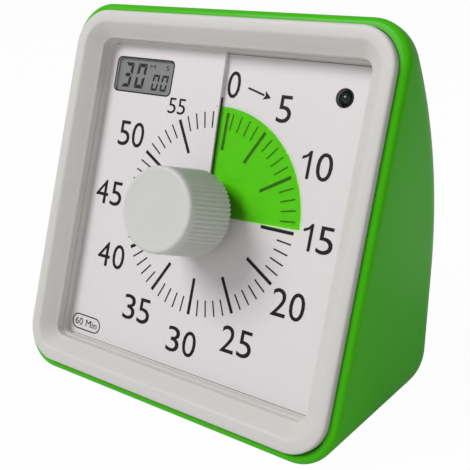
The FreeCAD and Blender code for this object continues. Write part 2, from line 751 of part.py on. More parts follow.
def make_display():
    """A glass cell on two conductive strips. Its holder's left wall stays low, under the bezel's flange."""
    front = "skirt_back - chassis_thickness - plate_thickness"
    under = "lcd_glass_top - lcd_glass_thickness"
    x = ("-lcd_left - lcd_margin_edge", "-lcd_right + lcd_margin")
    y = ("lcd_low - lcd_margin", "lcd_high + lcd_margin_edge")
    middle = "lcd_glass_top - lcd_glass_thickness / 2"
    rear_glass = box("RearGlass", x, y, (under, middle))
    front_glass = box("FrontGlass", x, (f"{y[0]} + lcd_ledge", y[1]), (middle, "lcd_glass_top"))
    keep(fused("LcdGlass", rear_glass, front_glass), "lcd_glass")
    left, right = "-lcd_left + 0.6", f"{x[1]} + holder_wall"
    low, high = f"{y[0]} - holder_wall", f"{y[1]} + 0.3"
    outside = box("HolderOutside", (left, right), (low, high), (front, f"{under} + 1"))
    seat = box("HolderSeat", (x[0], x[1]), y, (under, f"{under} + 2"))
    well = box("HolderWell", (f"{left} + holder_wall", f"{right} - 2 * holder_wall"),
               (f"{low} + 2 * holder_wall", f"{high} - holder_wall"), (f"{front} - 1", f"{under} + 1"))
    keep(cut("LcdHolder", outside, seat, well), "lcd_holder")
    length = (f"{left} + holder_wall", f"{right} - 2 * holder_wall")
    lower = (f"{low} + 2 * holder_wall", f"{low} + 2 * holder_wall + strip_width")
    upper = (f"{high} - holder_wall - strip_width", f"{high} - holder_wall")
    strips = [box("Strip", length, span, (front, under)) for span in (lower, upper)]
    keep(together("ContactStrips", *strips), "contact_strips")


# Movement: a plastic box with a stepping motor and three wheels


def tooth_outline(teeth, phase, addendum, dedendum):
    """Points round a spur gear with involute flanks, one tooth centred at the phase angle."""
    module, pressure = size("gear_module"), math.radians(20)
    pitch_radius = module * teeth / 2
    base = pitch_radius * math.cos(pressure)
    half_at_pitch = math.pi / (2 * teeth) - size("backlash") / (2 * pitch_radius)
    root, tip = pitch_radius - dedendum * module, pitch_radius + addendum * module

    def involute(angle):
        return math.tan(angle) - angle

    def half_width(radius):
        angle = math.acos(min(1.0, base / max(radius, base)))
        return half_at_pitch + involute(pressure) - involute(angle)

    flank = [root] + [base + (tip - base) * i / 4 for i in range(5) if base + (tip - base) * i / 4 > root]
    undercut = 0.75 if root < base else 1.0
    points = []
    for tooth in range(teeth):
        middle = phase + 2 * math.pi * tooth / teeth
        for side in (-1, 1):
            for radius in flank if side < 0 else reversed(flank):
                half = half_width(radius) * (undercut if radius < base else 1.0)
                angle = middle + side * half
                points.append(Vector(radius * math.cos(angle), radius * math.sin(angle), 0))
    return points


def toothed(teeth, phase, at, low, high, pinion=False):
    addendum, dedendum = (0.85, 1.1) if pinion else (0.75, 1.15)
    points = [at + Vector(p.x, p.y, low) for p in tooth_outline(int(teeth), phase, addendum, dedendum)]
    return Part.Face(Part.makePolygon(points + points[:1])).extrude(Vector(0, 0, high - low))


def arbor_places():
    """Places of the three arbors beside the spindle, from the gears' own centre distances."""
    module, pinion = size("gear_module"), size("pinion_teeth")
    to_third = module * (size("centre_teeth") + pinion) / 2
    to_next = module * (size("wheel_teeth") + pinion) / 2
    at = Vector()
    found = []
    steps = (("third_direction", to_third), ("middle_direction", to_next), ("rotor_direction", to_next))
    for word, distance in steps:
        turn = math.radians(size(word))
        at = at + Vector(math.cos(turn), math.sin(turn), 0) * distance
        found.append((at, turn))
    return found


def wheel_levels(step):
    """Low and high levels of the wheel on one step of the gear train, counted back from the front plate."""
    high = (size("skirt_back") - size("chassis_thickness") - size("plate_thickness")
            - size("first_level") - step * size("level_step"))
    return high - size("wheel_thickness"), high


def make_gears():
    """Each wheel meshes with the pinion of the next arbor, a tooth facing a gap on the line of centres."""
    places = arbor_places()
    front = size("skirt_back") - size("chassis_thickness") - size("plate_thickness")
    floor = front - size("box_depth") + size("plate_thickness")
    overlap = size("pinion_overlap")
    low, high = wheel_levels(0)
    centre = toothed(size("centre_teeth"), places[0][1], Vector(), low, high)
    bore = Part.makeCylinder(size("spindle_radius") + size("running_gap"), 4, Vector(0, 0, low - 1))
    shapes = [("centre_wheel", centre.cut(bore))]
    for step, label in enumerate(("third_wheel", "intermediate_wheel", "rotor")):
        at, facing = places[step]
        pinion_teeth = size("pinion_teeth")
        low, high = wheel_levels(step)
        phase = facing + math.pi + math.pi / pinion_teeth
        solid = toothed(pinion_teeth, phase, at, low - overlap, high + overlap, pinion=True)
        arbor = Part.makeCylinder(size("arbor_radius"), front - floor - 0.2, at + Vector(0, 0, floor + 0.1))
        pivots = Part.makeCylinder(size("pivot_radius"), front - floor + 1.4, at + Vector(0, 0, floor - 0.7))
        solid = solid.fuse(arbor).fuse(pivots)
        if label == "rotor":
            magnet_top = low - overlap - 0.5
            magnet = Part.makeCylinder(size("magnet_radius"), size("magnet_height"),
                                       at + Vector(0, 0, magnet_top - size("magnet_height")))
            solid = solid.fuse(magnet)
        else:
            low, high = wheel_levels(step + 1)
            solid = solid.fuse(toothed(size("wheel_teeth"), places[step + 1][1], at, low, high))
        shapes.append((label, solid))
    for label, solid in shapes:
        wheel = doc.addObject("Part::Feature", label.title().replace("_", ""))
        wheel.Shape = solid
        keep(wheel, label)


def make_movement():
    places = arbor_places()
    front = "skirt_back - chassis_thickness"
    inner_front = f"{front} - plate_thickness"
    floor = f"{inner_front} - box_depth + plate_thickness"
    back = f"{floor} - plate_thickness"
    outline_x, outline_y = ("-box_half_x", "box_half_x"), ("-box_bottom", "box_top")
    plate = box("MovementFront", outline_x, outline_y, (inner_front, front))
    running = "spindle_radius + running_gap"
    tools = [cylinder("FrontBearing", running, f"{inner_front} - 1", f"{front} + 1")]
    tools += screw_bores("FrontScrewHole", movement_screw_places(), f"{inner_front} - 1", f"{front} + 1",
                         "screw_clear_radius")
    pivot = "pivot_radius + running_gap"
    for at, _ in places:
        tools.append(cylinder("FrontPivot", pivot, f"{inner_front} - 1", f"{inner_front} + 0.9",
                              f"{at.x:.6f}", f"{at.y:.6f}"))
    keep(cut("MovementFrontPlate", plate, *tools), "movement_front_plate")

    cup = box("MovementCup", outline_x, outline_y, (back, inner_front))
    wall = "plate_thickness"
    inside = box("MovementInside", (f"-box_half_x + {wall}", f"box_half_x - {wall}"),
                 (f"-box_bottom + {wall}", f"box_top - {wall}"), (floor, f"{inner_front} + 1"))
    pillars = [cylinder("Pillar", "pillar_radius", back, inner_front, x, y)
               for x, y in movement_screw_places()]
    rotor = places[2][0]
    yoke_low, yoke_high = f"{floor} + yoke_level", f"{floor} + yoke_level + yoke_thickness"
    post_edge = "(yoke_half_width - yoke_post_radius - 0.1)"
    posts = [cylinder("YokePost", "yoke_post_radius", back, yoke_low,
                      f"{rotor.x:.6f} + {side} * {post_edge}", f"{rotor.y:.6f} + {step}")
             for side, step in ((-1, "(-4)"), (1, "7"))]
    seat = cylinder("SpindleSeat", "collar_radius", back, f"{floor} + 0.6")
    cup_body = fused("MovementWalls", cut("MovementShell", cup, inside), *pillars, *posts, seat)
    tools = [cylinder("RearBearing", running, f"{back} + 0.3", f"{inner_front} + 1")]
    tools += screw_bores("RearScrewHole", movement_screw_places(), f"{back} - 1", f"{inner_front} + 1",
                         "screw_clear_radius")
    for at, _ in places:
        tools.append(cylinder("RearPivot", pivot, f"{floor} - 0.9", f"{floor} + 1",
                              f"{at.x:.6f}", f"{at.y:.6f}"))
    keep(cut("MovementRearHousing", cup_body, *tools), "movement_housing")

    yoke = box("YokeBlank", (f"{rotor.x:.6f} - yoke_half_width", f"{rotor.x:.6f} + yoke_half_width"),
               (f"{rotor.y:.6f} - yoke_low", f"{rotor.y:.6f} + yoke_high"), (yoke_low, yoke_high))
    hole = cylinder("RotorHole", "magnet_radius + 0.4", f"{yoke_low} - 1", f"{yoke_high} + 1",
                    f"{rotor.x:.6f}", f"{rotor.y:.6f}")
    coil_y = f"{rotor.y:.6f} + coil_ahead"
    gap = box("CoilGap", (f"{rotor.x:.6f} - coil_half_length", f"{rotor.x:.6f} + coil_half_length"),
              (f"{coil_y} - coil_radius - 1.2", f"{coil_y} + coil_radius + 1.2"),
              (f"{yoke_low} - 1", f"{yoke_high} + 1"))
    keep(cut("Stator", yoke, hole, gap), "stator")
    coil = new("Part::Cylinder", "Coil", Radius="coil_radius", Height="2 * coil_half_length")
    coil.Placement = Placement(Vector(), Rotation(Vector(0, 1, 0), 90))
    place(coil, f"{rotor.x:.6f} - coil_half_length", coil_y, f"({yoke_low} + {yoke_high}) / 2")
    keep(together("MotorCoil", coil), "motor_coil")


# Back: battery contacts and the sound switch


def bowed_leaf(foot):
    """A strip folded to a wide V; its feet stand on the plate behind it and its fold meets the cell."""
    half, reach, thickness = size("leaf_half_height"), size("leaf_reach"), size("leaf_thickness")
    foot_depth = thickness * half / reach
    outline = [(0, -half), (reach, 0), (0, half), (0, half - foot_depth), (reach - thickness, 0),
               (0, foot_depth - half)]
    points = [foot + Vector(x, -size("leaf_half_width"), z) for x, z in outline]
    profile = Part.Face(Part.makePolygon(points + points[:1]))
    return profile.extrude(Vector(0, 2 * size("leaf_half_width"), 0))


def make_contacts():
    middle = "(bay_low + bay_high) / 2"
    cell_y = "case_back - door_thickness - cell_to_door"
    y = (f"{cell_y} - contact_half", f"{cell_y} + contact_half")
    plus, minus, leaves = [], [], []
    foot = -size("bay_left") + size("contact_thickness")
    for side in (-1, 1):
        level = f"{middle} + {side} * cell_pitch / 2"
        z = (f"{level} - contact_half", f"{level} + contact_half")
        plate = box("PlusPlate", ("bay_right - contact_thickness", "bay_right"), y, z)
        nub = cylinder("PlusNub", "nub_radius", "0", "nub_length")
        nub.Placement = Placement(Vector(), Rotation(Vector(0, 1, 0), -90))
        place(nub, "bay_right - contact_thickness + 0.1", cell_y, level)
        plus.append(fused("PlusContact", plate, nub))
        minus.append(box("MinusPlate", ("-bay_left", "-bay_left + contact_thickness"), y, z))
        level_now = (size("bay_low") + size("bay_high")) / 2 + side * size("cell_pitch") / 2
        depth_now = size("case_back") - size("door_thickness") - size("cell_to_door")
        leaves.append(bowed_leaf(Vector(foot, depth_now, level_now)))
    keep(together("PositiveContacts", *plus), "positive_contacts", on_face=False)
    keep(together("NegativePlates", *minus), "negative_plates", on_face=False)
    springs = doc.addObject("Part::Feature", "SpringLeaves")
    springs.Shape = Part.makeCompound(leaves)
    keep(springs, "battery_springs", on_face=False)


def make_switch():
    seat = "case_back - case_wall"
    middle, half = "switch_middle", "slider_half_height"
    width = "(switch_right - switch_left)"
    can = box("SwitchCan", ("switch_left", "switch_right"), (f"{seat} - switch_depth", seat),
              (f"{middle} - {width} / 2", f"{middle} + {width} / 2"))
    groove = box("SwitchGroove", ("slider_left - 0.5", "slider_left + slider_width + switch_travel + 0.5"),
                 (f"{seat} - 2.4", f"{seat} + 1"),
                 (f"{middle} - {half} - 0.15", f"{middle} + {half} + 0.15"))
    keep(cut("SwitchBody", can, groove), "switch_body", on_face=False)
    slider = doc.addObject("PartDesign::Body", "SwitchSlider")
    block(slider, ("slider_left", "slider_left + slider_width"),
          (f"{seat} - 2.2", "case_back + slider_proud"), (f"{middle} - {half}", f"{middle} + {half}"))
    tip = size("case_back") + size("slider_proud")
    dress(slider, lambda e: all(abs(v.Point.y - tip) < 1e-6 for v in e.Vertexes), Radius="0.25")
    keep(slider, "switch_slider", on_face=False)


def build():
    make_rear_case()
    make_battery_door()
    make_front_bezel()
    make_dial_plate()
    make_timer_disc()
    make_knob()
    make_spindle()
    make_chassis()
    make_board()
    make_display()
    make_gears()
    make_movement()
    make_contacts()
    make_switch()
    back = "skirt_back - chassis_thickness"
    under_plate = f"{back} - plate_thickness"
    make_screws("chassis_screws", chassis_screw_places(), back, "chassis_screw_tip")
    make_screws("movement_screws", movement_screw_places(), f"{under_plate} - box_depth", f"{back} + 1.1")
    make_screws("board_screws", board_screw_places(), f"{under_plate} - board_thickness", f"{back} + 1")
    doc.recompute()


def check_and_write():
    failed = [o.Label for o in doc.Objects if {"Invalid", "Error"} & set(o.State)]
    if failed:
        raise RuntimeError(f"not made: {failed}")
    for part in SUB_PARTS:
        if part.Shape.isNull() or not part.Shape.isValid() or not part.Shape.Solids:
            raise RuntimeError(f"{part.Label} is not a valid solid")
    os.makedirs("parts", exist_ok=True)
    for part in SUB_PARTS:
        part.Shape.exportStep(f"parts/{part.Label}.step")
        print(f"{part.Label}: {len(part.Shape.Solids)} solids, {part.Shape.Volume:.1f} mm3")


build()
check_and_write()
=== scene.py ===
import math

import bmesh
import bpy
from bpy.props import FloatProperty, FloatVectorProperty, IntProperty, PointerProperty
from mathutils import Matrix, Vector


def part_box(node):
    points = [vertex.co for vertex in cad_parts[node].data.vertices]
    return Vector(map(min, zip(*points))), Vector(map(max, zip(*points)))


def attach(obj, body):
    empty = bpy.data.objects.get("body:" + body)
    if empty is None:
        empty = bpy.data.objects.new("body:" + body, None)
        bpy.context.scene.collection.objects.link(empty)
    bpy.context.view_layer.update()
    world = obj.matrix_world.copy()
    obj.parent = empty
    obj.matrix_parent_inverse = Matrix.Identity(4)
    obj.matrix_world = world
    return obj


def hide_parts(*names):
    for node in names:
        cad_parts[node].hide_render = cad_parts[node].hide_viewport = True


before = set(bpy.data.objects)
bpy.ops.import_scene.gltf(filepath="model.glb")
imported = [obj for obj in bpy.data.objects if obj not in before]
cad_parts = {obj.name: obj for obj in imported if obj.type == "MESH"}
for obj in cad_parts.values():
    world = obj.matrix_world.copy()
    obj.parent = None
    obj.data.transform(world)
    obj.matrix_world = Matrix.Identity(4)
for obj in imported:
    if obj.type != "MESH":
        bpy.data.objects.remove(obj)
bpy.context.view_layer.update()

bl_info = {
    "name": "Visual Countdown Timer",
    "version": (1, 0, 0),
    "blender": (4, 5, 0),
    "location": "3D View > Sidebar > Timer",
    "description": "Makes the show model of a visual countdown timer round its CAD frame",
    "category": "Object",
}

MM = 0.001
SEAM_ANGLE = -2.9
PRINT_TOP = 0.035
PRINT_FOOT = 0.004
FRAME_UNDER = 3.7
FRAME_FRONT = 6.35
FRAME_LOW_EXTRA = 0.65
FRAME_HIGH_EXTRA = 0.75
KNOB_BASE = 4.1
KNOB_FRONT = 17.7
RIB_PARTS = 6
LAMP_PLACE = (28.9, 29.2)
LINE_STRETCH = 14.0


class TimerSizes(bpy.types.PropertyGroup):
    """Sizes of the timer's shown pieces, in metres and degrees"""

    lean: FloatProperty(name="Lean", description="Angle by which the face leans back", subtype="ANGLE",
                        default=math.radians(17.1))
    axis_height: FloatProperty(name="Axis height", description="Height of the knob's axis on the dial",
                               unit="LENGTH", default=0.0417)
    axis_ahead: FloatProperty(name="Axis ahead", description="Distance of the dial's centre before the middle",
                              unit="LENGTH", default=0.0072)
    dial_pitch: FloatProperty(name="Dial climb", description="Climb of the dial plate in one turn",
                              unit="LENGTH", default=0.0012)
    bezel_half: FloatProperty(name="Bezel half width", description="Half of the white frame's width",
                              unit="LENGTH", default=0.042)
    window_half: FloatProperty(name="Window half width", description="Half of the dial window's width",
                               unit="LENGTH", default=0.0363)
    bezel_corner: FloatProperty(name="Bezel corner", description="Radius of the white frame's corners",
                                unit="LENGTH", default=0.0086)
    tick_outer: FloatProperty(name="Tick radius", description="Outer radius of the minute marks",
                              unit="LENGTH", default=0.02306)
    major_inner: FloatProperty(name="Long mark", description="Inner radius of the five-minute marks",
                               unit="LENGTH", default=0.01475)
    minor_inner: FloatProperty(name="Short mark", description="Inner radius of the one-minute marks",
                               unit="LENGTH", default=0.0194)
    major_width: FloatProperty(name="Long mark width", description="Width of the five-minute marks",
                               unit="LENGTH", default=0.00075)
    minor_width: FloatProperty(name="Short mark width", description="Width of the one-minute marks",
                               unit="LENGTH", default=0.00034)
    knob_base: FloatProperty(name="Knob base radius", description="Radius of the knob at its base",
                             unit="LENGTH", default=0.0097)
    knob_front: FloatProperty(name="Knob front radius", description="Radius of the knob at its front",
                              unit="LENGTH", default=0.0092)
    rib_depth: FloatProperty(name="Rib depth", description="Depth of the grooves round the knob",
                             unit="LENGTH", default=0.00036)
    ribs: IntProperty(name="Ribs", description="Number of ribs round the knob", default=60, min=12)


class TimerColours(bpy.types.PropertyGroup):
    """Colours of the timer's finishes, as linear red, green and blue"""

    case_green: FloatVectorProperty(name="Case", description="Green of the case", subtype="COLOR",
                                    default=(0.058, 0.50, 0.002))
    frame_white: FloatVectorProperty(name="Frame", description="Warm white of the frame", subtype="COLOR",
                                     default=(0.62, 0.605, 0.58))
    dial_grey: FloatVectorProperty(name="Dial", description="Pale grey of the dial", subtype="COLOR",
                                   default=(0.72, 0.685, 0.695))
    knob_grey: FloatVectorProperty(name="Knob", description="Pale grey of the knob", subtype="COLOR",
                                   default=(0.60, 0.605, 0.575))
    film_green: FloatVectorProperty(name="Film", description="Tint of the clear disc", subtype="COLOR",
                                    default=(0.26, 0.72, 0.05))
    print_black: FloatVectorProperty(name="Print", description="Ink of the marks and numbers", subtype="COLOR",
                                     default=(0.008, 0.008, 0.009))
    display_grey: FloatVectorProperty(name="Display", description="Grey of the display", subtype="COLOR",
                                      default=(0.215, 0.222, 0.215))


# Where things are


def face_place():
    """Matrix from the dial's own millimetres, x right, y up the face and z out of it, to the row frame."""
    sizes = bpy.context.scene.timer_sizes
    sine, cosine = math.sin(sizes.lean), math.cos(sizes.lean)
    turned = Matrix(((1, 0, 0, 0), (0, sine, -cosine, 0), (0, cosine, sine, 0), (0, 0, 0, 1)))
    shift = Matrix.Translation((0, -sizes.axis_ahead, sizes.axis_height))
    return shift @ turned @ Matrix.Scale(MM, 4)


def dial_level(x, y):
    """Level in millimetres of the dial's printed side, which climbs clockwise from the slit."""
    angle = math.degrees(math.atan2(x, y))
    if angle < SEAM_ANGLE:
        angle += 360
    return 1000 * bpy.context.scene.timer_sizes.dial_pitch * (angle / 360 - 0.5)


def settle(bm, name, material, body, place=None, replaces=(), smooth=35, recalculate=True):
    """Turns a mesh in the making into a piece that rides on a body."""
    if recalculate:
        bmesh.ops.recalc_face_normals(bm, faces=bm.faces)
    if place is not None:
        bmesh.ops.transform(bm, matrix=place, verts=bm.verts)
    mesh = bpy.data.meshes.new(name)
    bm.to_mesh(mesh)
    bm.free()
    mesh.materials.append(material)
    mesh.polygons.foreach_set("use_smooth", [True] * len(mesh.polygons))
    mesh.set_sharp_from_angle(angle=math.radians(smooth))
    piece = bpy.data.objects.new(name, mesh)
    bpy.context.scene.collection.objects.link(piece)
    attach(piece, body)
    if replaces:
        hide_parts(*replaces)
    return piece


def rounded_panel(bm, left, right, low, high, level, radius, segments=10):
    """One flat face with round corners, facing up."""
    made = bmesh.ops.create_grid(bm, x_segments=1, y_segments=1, size=0.5)
    verts = made["verts"]
    bmesh.ops.scale(bm, vec=(right - left, high - low, 1), verts=verts)
    bmesh.ops.translate(bm, vec=((left + right) / 2, (low + high) / 2, level), verts=verts)
    faces = {f for v in verts for f in v.link_faces}
    if radius:
        cut = bmesh.ops.bevel(bm, geom=verts, offset=radius, offset_type="OFFSET", affect="VERTICES",
                              segments=segments, profile=0.5, material=-1)
        faces = {f for v in cut["verts"] for f in v.link_faces}
    face = faces.pop()
    face.normal_update()
    return face


def inward(bm, face, steps):
    """Walks a face inwards and along its normal, one step after another, and leaves walls behind."""
    for inset, rise in steps:
        bmesh.ops.inset_region(bm, faces=[face], thickness=inset, depth=rise, use_even_offset=True)
    return face


def prism(bm, left, right, low, high, bottom, top, radius, segments=10):
    """An upright block with round corners. Returns its lower and upper faces."""
    upper = rounded_panel(bm, left, right, low, high, top, radius, segments)
    lower = rounded_panel(bm, left, right, low, high, bottom, radius, segments)
    edges = list(upper.edges) + list(lower.edges)
    bmesh.ops.bridge_loops(bm, edges=edges)
    bmesh.ops.reverse_faces(bm, faces=[lower])
    return lower, upper


def open_ring(bm, first, second):
    """Joins the outlines of two faces with a wall in their place."""
    edges = list(first.edges) + list(second.edges)
    bmesh.ops.delete(bm, geom=[first, second], context="FACES_ONLY")
    bmesh.ops.bridge_loops(bm, edges=edges)


def merged_copy(node):
    """A copy of a CAD node's triangles, with its corners joined."""
    bm = bmesh.new()
    bm.from_mesh(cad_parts[node].data)
    bmesh.ops.remove_doubles(bm, verts=bm.verts, dist=1e-6)
    bmesh.ops.dissolve_degenerate(bm, edges=bm.edges, dist=1e-7)
    return bm


# Shader groups


def start_group(name, inputs, outputs):
    group = bpy.data.node_groups.new(name, "ShaderNodeTree")
    for word, kind, value in inputs:
        socket = group.interface.new_socket(name=word, in_out="INPUT", socket_type=kind)
        socket.default_value = value
    for word, kind in outputs:
        group.interface.new_socket(name=word, in_out="OUTPUT", socket_type=kind)
    return group, group.nodes.new("NodeGroupInput"), group.nodes.new("NodeGroupOutput")


def math_node(tree, operation, *values):
    node = tree.nodes.new("ShaderNodeMath")
    node.operation = operation
    for index, value in enumerate(values):
        if isinstance(value, bpy.types.NodeSocket):
            tree.links.new(value, node.inputs[index])
        else:
            node.inputs[index].default_value = value
    return node.outputs[0]


def noise_node(tree, coordinates, scale, detail=2.0, rough=0.5):
    node = tree.nodes.new("ShaderNodeTexNoise")
    tree.links.new(coordinates, node.inputs["Vector"])
    node.inputs["Detail"].default_value = detail
    node.inputs["Roughness"].default_value = rough
    if isinstance(scale, bpy.types.NodeSocket):
        tree.links.new(scale, node.inputs["Scale"])
    else:
        node.inputs["Scale"].default_value = scale
    return node.outputs["Fac"]


def moulded_skin():
    """Group: the fine texture of a moulded plastic surface, with handling marks."""
    name = "Moulded skin"
    if name in bpy.data.node_groups:
        return bpy.data.node_groups[name]
    group, given, out = start_group(
        name,
        [("Grain scale", "NodeSocketFloat", 2600.0), ("Grain", "NodeSocketFloat", 1.0),
         ("Waviness", "NodeSocketFloat", 0.3), ("Gloss spread", "NodeSocketFloat", 0.08),
         ("Roughness", "NodeSocketFloat", 0.4)],
        [("Height", "NodeSocketFloat"), ("Roughness", "NodeSocketFloat"), ("Patch", "NodeSocketFloat")])
    place = group.nodes.new("ShaderNodeTexCoord").outputs["Object"]
    grain = noise_node(group, place, given.outputs["Grain scale"], 3.0, 0.6)
    wave = noise_node(group, place, 55.0, 1.0)
    patch = noise_node(group, place, 130.0, 4.0, 0.6)
    grain_part = math_node(group, "MULTIPLY", grain, given.outputs["Grain"])
    wave_part = math_node(group, "MULTIPLY", wave, given.outputs["Waviness"])
    group.links.new(math_node(group, "ADD", grain_part, wave_part), out.inputs["Height"])
    centred = math_node(group, "SUBTRACT", patch, 0.5)
    spread = math_node(group, "MULTIPLY", centred, given.outputs["Gloss spread"])
    group.links.new(math_node(group, "ADD", spread, given.outputs["Roughness"]), out.inputs["Roughness"])
    group.links.new(patch, out.inputs["Patch"])
    return group


def colour_drift():
    """Group: a colour that drifts a little lighter and darker over the surface."""
    name = "Colour drift"
    if name in bpy.data.node_groups:
        return bpy.data.node_groups[name]
    group, given, out = start_group(
        name,
        [("Colour", "NodeSocketColor", (0.8, 0.8, 0.8, 1)), ("Amount", "NodeSocketFloat", 0.06),
         ("Scale", "NodeSocketFloat", 40.0), ("Speckle", "NodeSocketFloat", 0.0)],
        [("Colour", "NodeSocketColor")])
    place = group.nodes.new("ShaderNodeTexCoord").outputs["Object"]
    drift = math_node(group, "SUBTRACT", noise_node(group, place, given.outputs["Scale"], 3.0), 0.5)
    drift = math_node(group, "MULTIPLY", drift, given.outputs["Amount"])
    fine = math_node(group, "SUBTRACT", noise_node(group, place, 3400.0, 2.0), 0.5)
    fine = math_node(group, "MULTIPLY", fine, given.outputs["Speckle"])
    value = math_node(group, "ADD", math_node(group, "ADD", drift, fine), 1.0)
    shade = group.nodes.new("ShaderNodeHueSaturation")
    group.links.new(value, shade.inputs["Value"])
    group.links.new(given.outputs["Colour"], shade.inputs["Color"])
    group.links.new(shade.outputs["Color"], out.inputs["Colour"])
    return group


def settled_dust():
    """Group: a thin veil of dust on what faces up."""
    name = "Settled dust"
    if name in bpy.data.node_groups:
        return bpy.data.node_groups[name]
    group, given, out = start_group(
        name,
        [("Colour", "NodeSocketColor", (0.8, 0.8, 0.8, 1)), ("Amount", "NodeSocketFloat", 0.05)],
        [("Colour", "NodeSocketColor")])
    place = group.nodes.new("ShaderNodeTexCoord").outputs["Object"]
    split = group.nodes.new("ShaderNodeSeparateXYZ")
    group.links.new(group.nodes.new("ShaderNodeNewGeometry").outputs["Normal"], split.inputs[0])
    upward = math_node(group, "MAXIMUM", split.outputs["Z"], 0.0)
    upward = math_node(group, "POWER", upward, 3.0)
    veil = math_node(group, "MULTIPLY", upward, noise_node(group, place, 900.0, 5.0, 0.7))
    veil = math_node(group, "MULTIPLY", veil, given.outputs["Amount"])
    mix = group.nodes.new("ShaderNodeMix")
    mix.data_type = "RGBA"
    group.links.new(veil, mix.inputs["Factor"])
    group.links.new(given.outputs["Colour"], mix.inputs["A"])
    mix.inputs["B"].default_value = (0.72, 0.70, 0.66, 1)
    group.links.new(mix.outputs["Result"], out.inputs["Colour"])
    return group


# Materials


def start_material(name):
    material = bpy.data.materials.new(name)
    material.use_nodes = True
    return material, material.node_tree, material.node_tree.nodes["Principled BSDF"]


def place_group(tree, group, **values):
    node = tree.nodes.new("ShaderNodeGroup")
    node.node_tree = group
    for word, value in values.items():
        node.inputs[word.replace("_", " ")].default_value = value
    return node


def moulded(name, colour, rough=0.4, grain=0.6, scale=2600.0, wave=0.3, spread=0.08, drift=0.06, speckle=0.0,
            bump=0.02, dust=0.04, specular=0.5):
    """A moulded or painted finish: drifting colour, fine grain and uneven gloss."""
    if name in bpy.data.materials:
        return bpy.data.materials[name]
    material, tree, shader = start_material(name)
    drifting = place_group(tree, colour_drift(), Colour=(*colour, 1), Amount=drift, Scale=45.0,
                           Speckle=speckle)
    dusty = place_group(tree, settled_dust(), Amount=dust)
    tree.links.new(drifting.outputs["Colour"], dusty.inputs["Colour"])
    tree.links.new(dusty.outputs["Colour"], shader.inputs["Base Color"])
    skin = place_group(tree, moulded_skin(), Grain=grain, Grain_scale=scale, Waviness=wave,
                       Gloss_spread=spread, Roughness=rough)
    tree.links.new(skin.outputs["Roughness"], shader.inputs["Roughness"])
    relief = tree.nodes.new("ShaderNodeBump")
    relief.inputs["Strength"].default_value = 0.35
    relief.inputs["Distance"].default_value = bump * MM
    tree.links.new(skin.outputs["Height"], relief.inputs["Height"])
    tree.links.new(relief.outputs["Normal"], shader.inputs["Normal"])
    shader.inputs["Specular IOR Level"].default_value = specular
    return material


def metal(name, colour, rough=0.3):
    """A plated or drawn metal with fine lines along it."""
    if name in bpy.data.materials:
        return bpy.data.materials[name]
    material, tree, shader = start_material(name)
    shader.inputs["Metallic"].default_value = 1.0
    place = tree.nodes.new("ShaderNodeTexCoord").outputs["Object"]
    mapping = tree.nodes.new("ShaderNodeMapping")
    mapping.inputs["Scale"].default_value = (1.0, LINE_STRETCH, LINE_STRETCH)
    tree.links.new(place, mapping.inputs["Vector"])
    lines = noise_node(tree, mapping.outputs["Vector"], 420.0, 4.0, 0.6)
    drifting = place_group(tree, colour_drift(), Colour=(*colour, 1), Amount=0.25, Scale=300.0, Speckle=0.1)
    tree.links.new(drifting.outputs["Colour"], shader.inputs["Base Color"])
    uneven = math_node(tree, "MULTIPLY", lines, 0.2)
    tree.links.new(math_node(tree, "ADD", uneven, rough), shader.inputs["Roughness"])
    relief = tree.nodes.new("ShaderNodeBump")
    relief.inputs["Strength"].default_value = 0.3
    relief.inputs["Distance"].default_value = 0.01 * MM
    tree.links.new(lines, relief.inputs["Height"])
    tree.links.new(relief.outputs["Normal"], shader.inputs["Normal"])
    return material


def wound_wire(name, colour):
    """Copper wire laid turn by turn round a bobbin that lies across the movement."""
    if name in bpy.data.materials:
        return bpy.data.materials[name]
    material, tree, shader = start_material(name)
    shader.inputs["Metallic"].default_value = 0.8
    place = tree.nodes.new("ShaderNodeTexCoord").outputs["Object"]
    wave = tree.nodes.new("ShaderNodeTexWave")
    wave.bands_direction = "X"
    wave.inputs["Scale"].default_value = 2200.0
    wave.inputs["Distortion"].default_value = 0.6
    tree.links.new(place, wave.inputs["Vector"])
    drifting = place_group(tree, colour_drift(), Colour=(*colour, 1), Amount=0.3, Scale=500.0, Speckle=0.1)
    tree.links.new(drifting.outputs["Colour"], shader.inputs["Base Color"])
    gloss = math_node(tree, "MULTIPLY_ADD", wave.outputs["Fac"], -0.15, 0.45)
    tree.links.new(gloss, shader.inputs["Roughness"])
    relief = tree.nodes.new("ShaderNodeBump")
    relief.inputs["Distance"].default_value = 0.05 * MM
    tree.links.new(wave.outputs["Fac"], relief.inputs["Height"])
    tree.links.new(relief.outputs["Normal"], shader.inputs["Normal"])
    return material


